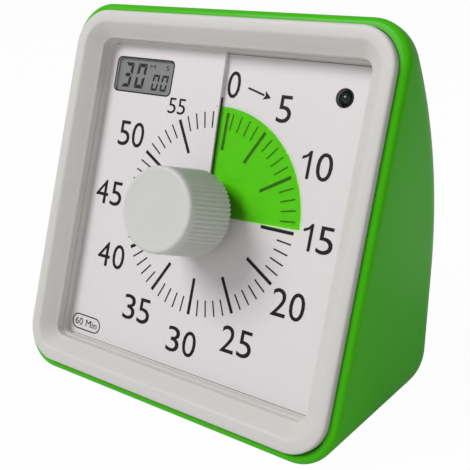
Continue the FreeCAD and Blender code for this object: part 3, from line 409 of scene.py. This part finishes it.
def board_mask(name, colour):
    """Circuit board: green mask with the pale shapes of copper tracks under it."""
    if name in bpy.data.materials:
        return bpy.data.materials[name]
    material, tree, shader = start_material(name)
    place = tree.nodes.new("ShaderNodeTexCoord").outputs["Object"]
    cells = tree.nodes.new("ShaderNodeTexVoronoi")
    cells.distance = "MANHATTAN"
    cells.inputs["Scale"].default_value = 260.0
    cells.inputs["Randomness"].default_value = 0.6
    tree.links.new(place, cells.inputs["Vector"])
    track = math_node(tree, "GREATER_THAN", cells.outputs["Distance"], 0.42)
    mix = tree.nodes.new("ShaderNodeMix")
    mix.data_type = "RGBA"
    tree.links.new(track, mix.inputs["Factor"])
    mix.inputs["A"].default_value = (*colour, 1)
    mix.inputs["B"].default_value = (colour[0] * 2.2, colour[1] * 1.7, colour[2] * 1.5, 1)
    drifting = place_group(tree, colour_drift(), Amount=0.15, Scale=120.0, Speckle=0.1)
    tree.links.new(mix.outputs["Result"], drifting.inputs["Colour"])
    tree.links.new(drifting.outputs["Colour"], shader.inputs["Base Color"])
    gloss = math_node(tree, "MULTIPLY_ADD", noise_node(tree, place, 700.0), 0.15, 0.25)
    tree.links.new(gloss, shader.inputs["Roughness"])
    relief = tree.nodes.new("ShaderNodeBump")
    relief.inputs["Distance"].default_value = 0.03 * MM
    tree.links.new(track, relief.inputs["Height"])
    tree.links.new(relief.outputs["Normal"], shader.inputs["Normal"])
    return material


def tinted_film():
    """Clear green film: it lets its colour through to the dial and keeps a soft gloss."""
    name = "Tinted film"
    if name in bpy.data.materials:
        return bpy.data.materials[name]
    colour = bpy.context.scene.timer_colours.film_green
    material, tree, shader = start_material(name)
    skin = place_group(tree, moulded_skin(), Grain=0.4, Grain_scale=1800.0, Waviness=0.6, Gloss_spread=0.06,
                       Roughness=0.12)
    shader.inputs["Base Color"].default_value = (*colour, 1)
    tree.links.new(skin.outputs["Roughness"], shader.inputs["Roughness"])
    shader.inputs["Transmission Weight"].default_value = 0.9
    shader.inputs["IOR"].default_value = 1.3
    relief = tree.nodes.new("ShaderNodeBump")
    relief.inputs["Strength"].default_value = 0.15
    relief.inputs["Distance"].default_value = 0.01 * MM
    tree.links.new(skin.outputs["Height"], relief.inputs["Height"])
    tree.links.new(relief.outputs["Normal"], shader.inputs["Normal"])
    clear = tree.nodes.new("ShaderNodeBsdfTransparent")
    clear.inputs["Color"].default_value = (*(c ** 0.5 for c in colour), 1)
    rays = tree.nodes.new("ShaderNodeLightPath")
    mix = tree.nodes.new("ShaderNodeMixShader")
    tree.links.new(rays.outputs["Is Shadow Ray"], mix.inputs["Fac"])
    tree.links.new(shader.outputs["BSDF"], mix.inputs[1])
    tree.links.new(clear.outputs["BSDF"], mix.inputs[2])
    tree.links.new(mix.outputs["Shader"], tree.nodes["Material Output"].inputs["Surface"])
    return material


def display_face():
    """Grey face of the display, behind a glossy sheet, with a faint drift and speckle."""
    name = "Display face"
    if name in bpy.data.materials:
        return bpy.data.materials[name]
    colour = bpy.context.scene.timer_colours.display_grey
    material, tree, shader = start_material(name)
    drifting = place_group(tree, colour_drift(), Colour=(*colour, 1), Amount=0.12, Scale=160.0, Speckle=0.12)
    tree.links.new(drifting.outputs["Colour"], shader.inputs["Base Color"])
    skin = place_group(tree, moulded_skin(), Grain=0.3, Grain_scale=4200.0, Waviness=0.1, Gloss_spread=0.05,
                       Roughness=0.28)
    tree.links.new(skin.outputs["Roughness"], shader.inputs["Roughness"])
    shader.inputs["Coat Weight"].default_value = 0.25
    shader.inputs["Coat Roughness"].default_value = 0.05
    return material


def ink():
    """Screen print, which also colours the painted shade lines at the dial's edges and slit: black with a
    slightly broken sheen.
    """
    colours = bpy.context.scene.timer_colours
    return moulded("Dial print", tuple(colours.print_black), rough=0.5, grain=0.5, scale=3000.0, wave=0.0,
                   spread=0.15, drift=0.4, speckle=0.5, bump=0.006, dust=0.0, specular=0.2)


def case_green():
    colours = bpy.context.scene.timer_colours
    return moulded("Housing green", tuple(colours.case_green), rough=0.30, grain=0.5, scale=2400.0, wave=0.6,
                   spread=0.10, drift=0.05, speckle=0.05, bump=0.02, dust=0.0, specular=0.14)


def frame_white():
    colours = bpy.context.scene.timer_colours
    return moulded("Frame white", tuple(colours.frame_white), rough=0.46, grain=0.7, scale=2400.0, wave=0.3,
                   spread=0.08, drift=0.035, speckle=0.03, bump=0.02, dust=0.03, specular=0.4)


# Operators


class TIMER_OT_case(bpy.types.Operator):
    """Makes the green wedge-shaped case with its smooth shading"""

    bl_idname = "timer.make_case"
    bl_label = "Case"

    def execute(self, context):
        bm = merged_copy("rear_case")
        settle(bm, "RearHousing", case_green(), "root", replaces=("rear_case",), smooth=28,
               recalculate=False)
        return {"FINISHED"}


class TIMER_OT_bezel(bpy.types.Operator):
    """Makes the white frame round the dial, with its dished inner slope and ledge, and dark blocks of painted
    shade in its snap slots
    """

    bl_idname = "timer.make_bezel"
    bl_label = "Front frame"

    outer_steps = [(0.04, 0.22), (0.10, 0.18), (0.18, 0.12), (0.30, 0.06), (0.54, 0.02), (1.32, 0.0),
                   (0.32, -0.08), (0.30, -0.20), (2.20, -2.20), (0.35, -0.30), (0.22, -0.14), (0.14, -0.20)]
    wall_steps = [(0.0, -1.62), (0.04, -0.12), (0.14, -0.04), (0.14, 0.0), (0.03, -0.05), (0.0, -3.60)]

    def execute(self, context):
        sizes = context.scene.timer_sizes
        half, corner = sizes.bezel_half / MM, sizes.bezel_corner / MM
        low, high = -half - FRAME_LOW_EXTRA, half + FRAME_HIGH_EXTRA
        bm = bmesh.new()
        lower, upper = prism(bm, -half, half, low, high, FRAME_UNDER, FRAME_FRONT, corner, segments=14)
        inward(bm, upper, self.outer_steps)
        inward(bm, upper, self.wall_steps)
        inward(bm, upper, [(2.1, 0.0)])
        inward(bm, lower, [(0.06, 0.0), (2.10, 0.0), (0.06, 0.06), (0.0, 6.7), (0.12, 0.12), (5.88, 0.0)])
        open_ring(bm, upper, lower)
        settle(bm, "FrontFrame", frame_white(), "root", place=face_place(),
               replaces=("front_bezel",), smooth=32)
        self.snap_slot_shade(sizes.window_half / MM)
        return {"FINISHED"}

    def snap_slot_shade(self, window):
        """Painted shade: dark blocks set in the window's left wall where the snaps' slots lie in shade, and a
        short one at its top right.
        """
        # Painted shade: a near-black finish stands in for the shade inside the slots.
        dark = moulded("Slot shadow", (0.03, 0.03, 0.03), rough=0.7, drift=0.3, bump=0.03)
        bm = bmesh.new()
        for low, high in ((23.6, 29.3), (-29.5, -24.0)):
            _, top = prism(bm, -window - 0.12, -window + 0.05, low, high, 2.05, 2.55, 0.04, segments=2)
            inward(bm, top, [(0.03, 0.02)])
        _, top = prism(bm, 33.2, 34.2, 36.85, 37.0, 2.0, 2.9, 0.03, segments=2)
        inward(bm, top, [(0.03, 0.02)])
        settle(bm, "SnapSlotShade", dark, "root", place=face_place())


class TIMER_OT_print(bpy.types.Operator):
    """Prints the minute marks, numbers, arrow and range badge on the dial, and lays thin lines of painted shade
    at its edges and slit
    """

    bl_idname = "timer.make_print"
    bl_label = "Dial print"

    numbers = [
        ("0", -0.7, 2.75, 26.4, 32.4), ("5", 13.4, 17.0, 22.5, 28.4), ("0", 25.35, 29.2, 11.75, 17.7),
        ("5", 28.8, 32.6, -2.9, 2.9), ("2", 20.9, 24.65, -17.8, -11.8), ("0", 25.3, 29.0, -17.8, -11.8),
        ("2", 10.0, 13.65, -28.75, -22.75), ("5", 14.5, 18.1, -28.75, -22.75),
        ("3", -4.7, -1.05, -32.6, -26.7), ("0", -0.1, 3.6, -32.6, -26.7),
        ("3", -19.1, -15.45, -28.6, -22.6), ("5", -14.55, -10.9, -28.6, -22.6),
        ("4", -29.9, -26.0, -17.75, -11.8), ("0", -25.1, -21.4, -17.75, -11.8),
        ("4", -33.75, -29.85, -2.9, 3.0), ("5", -29.0, -25.4, -2.9, 3.0),
        ("5", -29.6, -26.0, 11.9, 17.9), ("0", -25.3, -21.6, 11.9, 17.9),
        ("5", -15.7, -13.4, 21.1, 24.75), ("5", -12.9, -10.6, 21.1, 24.75),
    ]
    ones = [(21.7, 23.95, 11.75, 17.7), (25.25, 27.5, -2.9, 2.9)]

    def execute(self, context):
        bm = bmesh.new()
        for text, left, right, low, high in self.numbers:
            lettering(bm, text, left, right, low, high)
        for left, right, low, high in self.ones:
            self.numeral_one(bm, left, right, low, high)
        self.lay_on_dial(bm, "DialNumbers")
        self.marks(context.scene.timer_sizes)
        self.badge()
        return {"FINISHED"}

    def lay_on_dial(self, bm, name):
        """Lets flat print follow the climbing plate, a hair above it."""
        for vert in bm.verts:
            vert.co.z = dial_level(vert.co.x, vert.co.y) + (PRINT_TOP if vert.co.z > 0.5 else PRINT_FOOT)
        settle(bm, name, ink(), "root", place=face_place())

    def numeral_one(self, bm, left, right, low, high):
        """A plain one: a stem with a short flag at its top."""
        height, stem = high - low, 0.125 * (high - low)
        corners = [(right - stem, 0), (right, 0), (right, height), (right - 0.72 * stem, height),
                   (right - 1.6 * stem, height - 1.15 * stem), (left, height - 1.75 * stem),
                   (left, height - 2.65 * stem), (right - 1.9 * stem, height - 2.15 * stem),
                   (right - stem, height - 1.6 * stem)]
        plate(bm, [(x, low + y) for x, y in corners])

    def marks(self, sizes):
        bm = bmesh.new()
        outer = sizes.tick_outer / MM
        for minute in range(60):
            long_mark = minute % 5 == 0
            inner = (sizes.major_inner if long_mark else sizes.minor_inner) / MM
            width = (sizes.major_width if long_mark else sizes.minor_width) / MM
            bar = bmesh.ops.create_cube(bm, size=1.0)["verts"]
            bmesh.ops.scale(bm, vec=(width, outer - inner, 1), verts=bar)
            bmesh.ops.translate(bm, vec=(0.9 if minute == 0 else 0, (outer + inner) / 2, 0.5), verts=bar)
            if minute:
                turn = Matrix.Rotation(-math.radians(6 * minute), 3, "Z")
                bmesh.ops.rotate(bm, cent=(0, 0, 0), matrix=turn, verts=bar)
        self.lay_on_dial(bm, "MinuteMarks")

    def badge(self):
        """The range badge, the arrow and the display's border, with thin dark lines of painted shadow under the
        frame's lip at the dial's top and bottom edges, and a line of painted shade along the slit.
        """
        bm = bmesh.new()
        outline(bm, -34.75, -25.4, -34.8, -31.0, 1.85, 0.28)
        lettering(bm, "60 Min", -33.7, -26.5, -33.75, -32.0)
        outline(bm, -33.78, -15.72, 24.72, 33.18, 1.3, 0.32)
        tail, tip = Vector((5.0, 29.06)), Vector((11.25, 27.4))
        along = (tip - tail).normalized()
        across = Vector((-along.y, along.x))
        neck = tip - along * 1.9
        shaft = [tail - across * 0.22, neck - across * 0.22, neck + across * 0.22, tail + across * 0.22]
        head = [tip, neck + across * 1.0, neck + along * 0.35, neck - across * 1.0]
        plate(bm, [tuple(p) for p in shaft])
        plate(bm, [tuple(p) for p in head])
        # Painted shadow: thin dark lines where the frame's lip shades the dial's top and bottom edges.
        for y in (-36.05, 35.95):
            plate(bm, [(-35.6, y), (35.6, y), (35.6, y + 0.1), (-35.6, y + 0.1)])
        # Painted shade: a thin dark line along the slit, where the raised side of the dial shades it.
        plate(bm, [(-1.82, 24.0), (-1.72, 24.0), (-1.72, 35.95), (-1.82, 35.95)])
        self.lay_on_dial(bm, "BadgeArrowAndPaintedShade")


class TIMER_OT_display(bpy.types.Operator):
    """Draws the display's dark segments on its glass"""

    bl_idname = "timer.make_display"
    bl_label = "Display"

    strokes = {"3": "abcdg", "0": "abcdef"}
    digits = [("3", -32.05, 25.95, 2.7, 5.95, 0.86), ("0", -27.95, 25.95, 2.8, 5.95, 0.86),
              ("0", -22.55, 25.85, 1.95, 3.8, 0.56), ("0", -19.85, 25.85, 1.95, 3.8, 0.56)]

    def execute(self, context):
        bm = bmesh.new()
        for word, left, low, width, height, weight in self.digits:
            self.digit(bm, word, left, low, width, height, weight)
        lettering(bm, "M", -23.7, -22.05, 30.9, 31.85)
        lettering(bm, "S", -18.75, -17.8, 30.75, 31.95)
        for vert in bm.verts:
            vert.co.z = -0.13 if vert.co.z > 0.5 else -0.148
        dark = moulded("Display segment", (0.012, 0.012, 0.014), rough=0.35, grain=0.2, wave=0.0, drift=0.2,
                       bump=0.003, dust=0.0, specular=0.3)
        settle(bm, "DisplaySegments", dark, "root", place=face_place())
        return {"FINISHED"}

    def digit(self, bm, word, left, low, width, height, weight):
        """Seven-segment strokes, which taper to their ends and lean a little."""
        lean = 0.11
        gap = 0.10 * weight
        middle = height / 2

        def leaning(points):
            plate(bm, [(left + x + lean * y, low + y) for x, y in points])

        shapes = {
            "a": [(gap, height), (width - gap, height), (width - weight, height - weight),
                  (weight, height - weight)],
            "d": [(gap, 0), (weight, weight), (width - weight, weight), (width - gap, 0)],
            "g": [(0.35 * weight + gap, middle), (weight, middle + weight / 2),
                  (width - weight, middle + weight / 2), (width - 0.35 * weight - gap, middle),
                  (width - weight, middle - weight / 2), (weight, middle - weight / 2)],
        }
        upper = [(0, middle + 0.22 * weight), (0, height - gap), (weight * 0.92, height - weight - gap),
                 (weight * 0.92, middle + 0.75 * weight)]
        lower = [(x, height - y) for x, y in upper]
        shapes["f"], shapes["e"] = upper, lower
        shapes["b"] = [(width - x, y) for x, y in upper]
        shapes["c"] = [(width - x, y) for x, y in lower]
        for stroke in self.strokes[word]:
            leaning(shapes[stroke])


class TIMER_OT_knob(bpy.types.Operator):
    """Makes the ribbed knob in the middle of the dial"""

    bl_idname = "timer.make_knob"
    bl_label = "Knob"

    def execute(self, context):
        sizes = context.scene.timer_sizes
        base, front = KNOB_BASE, KNOB_FRONT
        around = sizes.ribs * RIB_PARTS
        bm = bmesh.new()
        bmesh.ops.create_cone(bm, cap_ends=True, segments=around, radius1=sizes.knob_base / MM,
                              radius2=sizes.knob_front / MM, depth=front - base)
        bmesh.ops.translate(bm, vec=(0, 0, (base + front) / 2), verts=bm.verts)
        full_depth = front - 3.2
        fade = {full_depth: 1.0, front - 2.4: 0.75, front - 1.8: 0.4, front - 1.3: 0.14, front - 0.9: 0.0}
        for level in (base + 0.5, *fade):
            bmesh.ops.bisect_plane(bm, geom=list(bm.verts) + list(bm.edges) + list(bm.faces),
                                   plane_co=(0, 0, level), plane_no=(0, 0, 1))
        rim = [e for e in bm.edges if all(v.co.z > front - 1e-4 for v in e.verts)]
        bmesh.ops.bevel(bm, geom=rim, offset=0.7, offset_type="OFFSET", affect="EDGES", segments=6,
                        profile=0.5, material=-1)
        caps = [f for f in bm.faces if len(f.verts) > 4]
        top = max(caps, key=lambda f: f.calc_center_median().z)
        inward(bm, top, [(0.5, 0.0), (0.18, -0.05), (0.5, -0.04), (3.4, -0.02)])
        bottom = min(caps, key=lambda f: f.calc_center_median().z)
        inward(bm, bottom, [(1.85, 0.0), (0.12, -0.12), (0.0, -11.5), (0.6, -0.3)])
        depths = (1.0, 0.85, 0.25, 0.0, 0.25, 0.85)
        for vert in bm.verts:
            radius = math.hypot(vert.co.x, vert.co.y)
            if radius < 9.0:
                continue
            left = [share for level, share in fade.items() if abs(level - vert.co.z) < 1e-3]
            strength = left[0] if left else float(vert.co.z < full_depth)
            turn = math.atan2(vert.co.y, vert.co.x) % (2 * math.pi)
            share = strength * depths[round(turn * around / (2 * math.pi)) % RIB_PARTS]
            scale = 1 - share * sizes.rib_depth / MM / radius
            vert.co.x *= scale
            vert.co.y *= scale
        boss = bmesh.ops.create_cone(bm, cap_ends=True, segments=48, radius1=3.4, radius2=3.4, depth=11.9)
        bmesh.ops.translate(bm, vec=(0, 0, base + 5.95), verts=boss["verts"])
        colours = context.scene.timer_colours
        grey = moulded("Knob plastic", tuple(colours.knob_grey), rough=0.42, grain=0.6, scale=2400.0, wave=0.2,
                       drift=0.04, speckle=0.03, bump=0.018, dust=0.03, specular=0.42)
        settle(bm, "TurnKnob", grey, "knob", place=face_place(), replaces=("knob",),
               smooth=38)
        return {"FINISHED"}


class TIMER_OT_lamp(bpy.types.Operator):
    """Makes the indicator lamp's dark dome and the lip of its hole"""

    bl_idname = "timer.make_lamp"
    bl_label = "Indicator lamp"

    def execute(self, context):
        bm = bmesh.new()
        bmesh.ops.create_uvsphere(bm, u_segments=40, v_segments=24, radius=1.5)
        low = [v for v in bm.verts if v.co.z < -0.01]
        bmesh.ops.delete(bm, geom=low, context="VERTS")
        rim = [e for e in bm.edges if e.is_boundary]
        wall = bmesh.ops.extrude_edge_only(bm, edges=rim)
        bottom = [g for g in wall["geom"] if isinstance(g, bmesh.types.BMVert)]
        bmesh.ops.translate(bm, vec=(0, 0, -4.2), verts=bottom)
        bmesh.ops.contextual_create(bm, geom=[e for e in bm.edges if e.is_boundary])
        bmesh.ops.translate(bm, vec=(*LAMP_PLACE, -1.8), verts=bm.verts)
        dark = moulded("Lamp lens", (0.004, 0.010, 0.008), rough=0.10, grain=0.1, wave=0.3, spread=0.03,
                       drift=0.3, bump=0.004, dust=0.0, specular=0.5)
        settle(bm, "LampDome", dark, "root", place=face_place(), replaces=("indicator_led",))
        bm = bmesh.new()
        bmesh.ops.create_circle(bm, cap_ends=True, segments=48, radius=2.05)
        bmesh.ops.translate(bm, vec=(*LAMP_PLACE, 0.0), verts=bm.verts)
        bm.faces.ensure_lookup_table()
        disc = bm.faces[0]
        bmesh.ops.inset_region(bm, faces=[disc], use_boundary=True, thickness=0.36, depth=0.0,
                               use_even_offset=True)
        bmesh.ops.delete(bm, geom=[disc], context="FACES_ONLY")
        bmesh.ops.solidify(bm, geom=list(bm.faces), thickness=0.3)
        middle = dial_level(*LAMP_PLACE)
        for vert in bm.verts:
            vert.co.z = middle + (0.045 if vert.co.z > 0.15 or vert.co.z < -0.15 else -0.03)
        settle(bm, "LampLip", ink(), "root", place=face_place())
        return {"FINISHED"}


class TIMER_OT_back(bpy.types.Operator):
    """Makes the battery door with its thumb grip"""

    bl_idname = "timer.make_back"
    bl_label = "Battery door and switch"

    def execute(self, context):
        low, high = (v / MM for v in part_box("battery_door"))
        spread = Matrix(((-1, 0, 0, 0), (0, 0, 1, 0), (0, 1, 0, 0), (0, 0, 0, 1)))
        bm = bmesh.new()
        _, back = prism(bm, -high.x, -low.x, low.z, high.z, low.y, high.y - 0.4, 0.5, segments=3)
        inward(bm, back, [(0.06, 0.18), (0.12, 0.15), (0.2, 0.07)])
        middle = -(low.x + high.x) / 2
        self.grip(bm, middle, high.z - 6.6, high.y)
        place = Matrix.Scale(MM, 4) @ spread
        settle(bm, "DoorPanel", case_green(), "battery_door", place=place,
               replaces=("battery_door",), smooth=30)
        return {"FINISHED"}

    def grip(self, bm, middle, level, top):
        """Raised bars for the thumb."""
        for step in range(5):
            at = level + 1.3 * step
            _, bar = prism(bm, middle - 6, middle + 6, at - 0.32, at + 0.32, top - 0.3, top + 0.1, 0.3,
                           segments=5)
            inward(bm, bar, [(0.05, 0.08), (0.1, 0.05)])


class TIMER_OT_finishes(bpy.types.Operator):
    """Gives each CAD part that stays its own finish"""

    bl_idname = "timer.finish_parts"
    bl_label = "Finishes"

    def execute(self, context):
        colours = context.scene.timer_colours
        natural = moulded("Natural acetal", (0.80, 0.78, 0.72), rough=0.38, grain=0.4, drift=0.06,
                          speckle=0.05)
        black = moulded("Black plastic", (0.02, 0.02, 0.022), rough=0.45, grain=0.8, drift=0.2, speckle=0.2)
        steel = metal("Plated steel", (0.62, 0.61, 0.58), rough=0.22)
        finishes = {
            "dial_plate": moulded("Dial card", tuple(colours.dial_grey), rough=0.52, grain=0.5, scale=3200.0,
                                  wave=0.1, spread=0.06, drift=0.03, speckle=0.04, bump=0.01, dust=0.02,
                                  specular=0.35),
            "timer_disc": tinted_film(),
            "lcd_glass": display_face(),
            "motor_coil": wound_wire("Copper winding", (0.55, 0.20, 0.07)),
            "circuit_board": board_mask("Circuit board", (0.012, 0.10, 0.03)),
            "stator": metal("Motor iron", (0.35, 0.34, 0.33), rough=0.38),
            "contact_strips": moulded("Pink rubber", (0.52, 0.26, 0.27), rough=0.7, grain=0.8, drift=0.15),
            "chassis_plate": frame_white(),
            "buzzer": moulded("Buzzer can", (0.03, 0.03, 0.03), rough=0.32, grain=0.4, drift=0.2),
            "control_chip": moulded("Chip epoxy", (0.025, 0.025, 0.028), rough=0.6, grain=1.0, speckle=0.4),
            "switch_slider": moulded("Slider black", (0.03, 0.03, 0.032), rough=0.5, grain=0.8, speckle=0.2),
        }
        for node in ("disc_hub", "spindle", "centre_wheel", "third_wheel", "intermediate_wheel", "rotor"):
            finishes[node] = natural
        for node in ("lcd_holder", "movement_front_plate", "movement_housing", "switch_body"):
            finishes[node] = black
        for node in ("clutch_spring", "spindle_clip", "positive_contacts", "negative_plates", "battery_springs",
                     "chassis_screws", "movement_screws", "board_screws"):
            finishes[node] = steel
        replaced = {"rear_case": case_green(), "battery_door": case_green(), "front_bezel": frame_white(),
                    "knob": natural, "indicator_led": black}
        for node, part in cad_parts.items():
            finish = finishes.get(node) or replaced[node]
            part.data.materials.clear()
            part.data.materials.append(finish)
        return {"FINISHED"}


class TIMER_OT_stage(bpy.types.Operator):
    """Lays the floor, and sets the lamps, the surroundings and the camera"""

    bl_idname = "timer.set_stage"
    bl_label = "Stage"

    def execute(self, context):
        self.floor()
        self.lamps()
        self.surroundings(context)
        self.camera(context)
        return {"FINISHED"}

    def floor(self):
        bm = bmesh.new()
        bmesh.ops.create_circle(bm, cap_ends=True, segments=64, radius=6.0)
        bmesh.ops.translate(bm, vec=(0, 0, -0.00005), verts=bm.verts)
        mesh = bpy.data.meshes.new("Floor")
        bm.to_mesh(mesh)
        bm.free()
        floor = bpy.data.objects.new("Floor", mesh)
        bpy.context.scene.collection.objects.link(floor)
        material, tree, shader = start_material("Pale floor")
        shader.inputs["Base Color"].default_value = (0.86, 0.86, 0.86, 1)
        shader.inputs["Roughness"].default_value = 0.9
        shader.inputs["Specular IOR Level"].default_value = 0.1
        glow = tree.nodes.new("ShaderNodeEmission")
        glow.inputs["Color"].default_value = (1, 1, 1, 1)
        rays = tree.nodes.new("ShaderNodeLightPath")
        share = math_node(tree, "MULTIPLY", rays.outputs["Is Camera Ray"], 0.97)
        mix = tree.nodes.new("ShaderNodeMixShader")
        tree.links.new(share, mix.inputs["Fac"])
        tree.links.new(shader.outputs["BSDF"], mix.inputs[1])
        tree.links.new(glow.outputs["Emission"], mix.inputs[2])
        tree.links.new(mix.outputs["Shader"], tree.nodes["Material Output"].inputs["Surface"])
        mesh.materials.append(material)

    def lamps(self):
        """A large soft lamp above the left of the front, and a weak one from the right."""
        target = Vector((0, 0, 0.045))
        for name, spot, power, size in (("KeyLamp", (-0.62, -0.95, 1.05), 15.0, 0.75),
                                        ("FillLamp", (0.75, -0.95, 0.45), 0.8, 0.9)):
            light = bpy.data.lights.new(name, "AREA")
            light.shape = "DISK"
            light.energy = power
            light.size = size
            lamp = bpy.data.objects.new(name, light)
            lamp.location = spot
            lamp.rotation_euler = (target - Vector(spot)).to_track_quat("-Z", "Y").to_euler()
            bpy.context.scene.collection.objects.link(lamp)

    def surroundings(self, context):
        world = bpy.data.worlds.new("PaleRoom")
        context.scene.world = world
        world.use_nodes = True
        tree = world.node_tree
        room = tree.nodes["Background"]
        room.inputs["Color"].default_value = (1, 1, 1, 1)
        room.inputs["Strength"].default_value = 0.32
        seen = tree.nodes.new("ShaderNodeBackground")
        seen.inputs["Color"].default_value = (1, 1, 1, 1)
        seen.inputs["Strength"].default_value = 1.0
        rays = tree.nodes.new("ShaderNodeLightPath")
        mix = tree.nodes.new("ShaderNodeMixShader")
        tree.links.new(rays.outputs["Is Camera Ray"], mix.inputs["Fac"])
        tree.links.new(room.outputs["Background"], mix.inputs[1])
        tree.links.new(seen.outputs["Background"], mix.inputs[2])
        tree.links.new(mix.outputs["Shader"], tree.nodes["World Output"].inputs["Surface"])

    def camera(self, context):
        """The camera stands to the right of the dial and above it, as in the photograph."""
        turned = face_place().to_3x3() @ Matrix.Scale(1 / MM, 3)
        right = turned @ Vector((0.80951, 0.17825, -0.55939))
        down = turned @ Vector((0.19233, -0.98073, -0.03419))
        ahead = turned @ Vector((-0.55471, -0.07991, -0.82820))
        spot = face_place() @ Vector((109.16, 11.43, 149.88))
        data = bpy.data.cameras.new("PhotoCamera")
        data.sensor_width = 36.0
        data.lens = 63.33
        data.clip_start = 0.01
        camera = bpy.data.objects.new("PhotoCamera", data)
        columns = Matrix((right, -down, -ahead)).transposed()
        camera.matrix_world = Matrix.Translation(spot) @ columns.to_4x4()
        context.scene.collection.objects.link(camera)
        context.scene.camera = camera
        context.scene.view_settings.view_transform = "Standard"


# Flat shapes for print


def plate(bm, corners):
    """A thin plate from its corners, one millimetre thick until it is laid on the dial."""
    verts = [bm.verts.new((x, y, 0.0)) for x, y in corners]
    face = bm.faces.new(verts)
    lifted = bmesh.ops.extrude_face_region(bm, geom=[face])
    top = [g for g in lifted["geom"] if isinstance(g, bmesh.types.BMVert)]
    bmesh.ops.translate(bm, vec=(0, 0, 1), verts=top)


def outline(bm, left, right, low, high, radius, width):
    """A thin rounded outline, one millimetre thick until it is laid on the dial."""
    lower, upper = prism(bm, left, right, low, high, 0.0, 1.0, radius, segments=8)
    inward(bm, upper, [(width, 0.0)])
    inward(bm, lower, [(width, 0.0)])
    open_ring(bm, upper, lower)


def lettering(bm, text, left, right, low, high):
    """Adds built-in lettering, fitted to the box that it is to fill, one millimetre thick."""
    curve = bpy.data.curves.new("Lettering", "FONT")
    curve.body = text
    curve.extrude = 0.5
    curve.resolution_u = 4
    holder = bpy.data.objects.new("Lettering", curve)
    bpy.context.scene.collection.objects.link(holder)
    bpy.context.view_layer.update()
    mesh = bpy.data.meshes.new_from_object(holder.evaluated_get(bpy.context.evaluated_depsgraph_get()))
    xs = [v.co.x for v in mesh.vertices]
    ys = [v.co.y for v in mesh.vertices]
    across = (right - left) / (max(xs) - min(xs))
    upward = (high - low) / (max(ys) - min(ys))
    shift = Matrix.Translation((left - min(xs) * across, low - min(ys) * upward, 0.5))
    mesh.transform(shift @ Matrix.Diagonal((across, upward, 1, 1)))
    bm.from_mesh(mesh)
    bmesh.ops.remove_doubles(bm, verts=bm.verts, dist=1e-5)
    bpy.data.objects.remove(holder)
    bpy.data.curves.remove(curve)
    bpy.data.meshes.remove(mesh)


OPERATORS = (TIMER_OT_case, TIMER_OT_bezel, TIMER_OT_print, TIMER_OT_display, TIMER_OT_knob, TIMER_OT_lamp,
             TIMER_OT_back, TIMER_OT_finishes, TIMER_OT_stage)


class TIMER_PT_panel(bpy.types.Panel):
    """Lists the timer's pieces, sizes and colours"""

    bl_idname = "TIMER_PT_panel"
    bl_label = "Countdown timer"
    bl_space_type = "VIEW_3D"
    bl_region_type = "UI"
    bl_category = "Timer"

    def draw(self, context):
        column = self.layout.column(align=True)
        for operator in OPERATORS:
            column.operator(operator.bl_idname)
        for group in (context.scene.timer_sizes, context.scene.timer_colours):
            column = self.layout.column()
            for word in type(group).__annotations__:
                column.prop(group, word)


def register():
    for group in (TimerSizes, TimerColours) + OPERATORS + (TIMER_PT_panel,):
        bpy.utils.register_class(group)
    bpy.types.Scene.timer_sizes = PointerProperty(type=TimerSizes)
    bpy.types.Scene.timer_colours = PointerProperty(type=TimerColours)


def unregister():
    del bpy.types.Scene.timer_sizes
    del bpy.types.Scene.timer_colours
    for group in reversed((TimerSizes, TimerColours) + OPERATORS + (TIMER_PT_panel,)):
        bpy.utils.unregister_class(group)


def main():
    register()
    bpy.ops.timer.make_case()
    bpy.ops.timer.make_bezel()
    bpy.ops.timer.make_print()
    bpy.ops.timer.make_display()
    bpy.ops.timer.make_knob()
    bpy.ops.timer.make_lamp()
    bpy.ops.timer.make_back()
    bpy.ops.timer.finish_parts()
    bpy.ops.timer.set_stage()


if __name__ == "__main__":
    main()
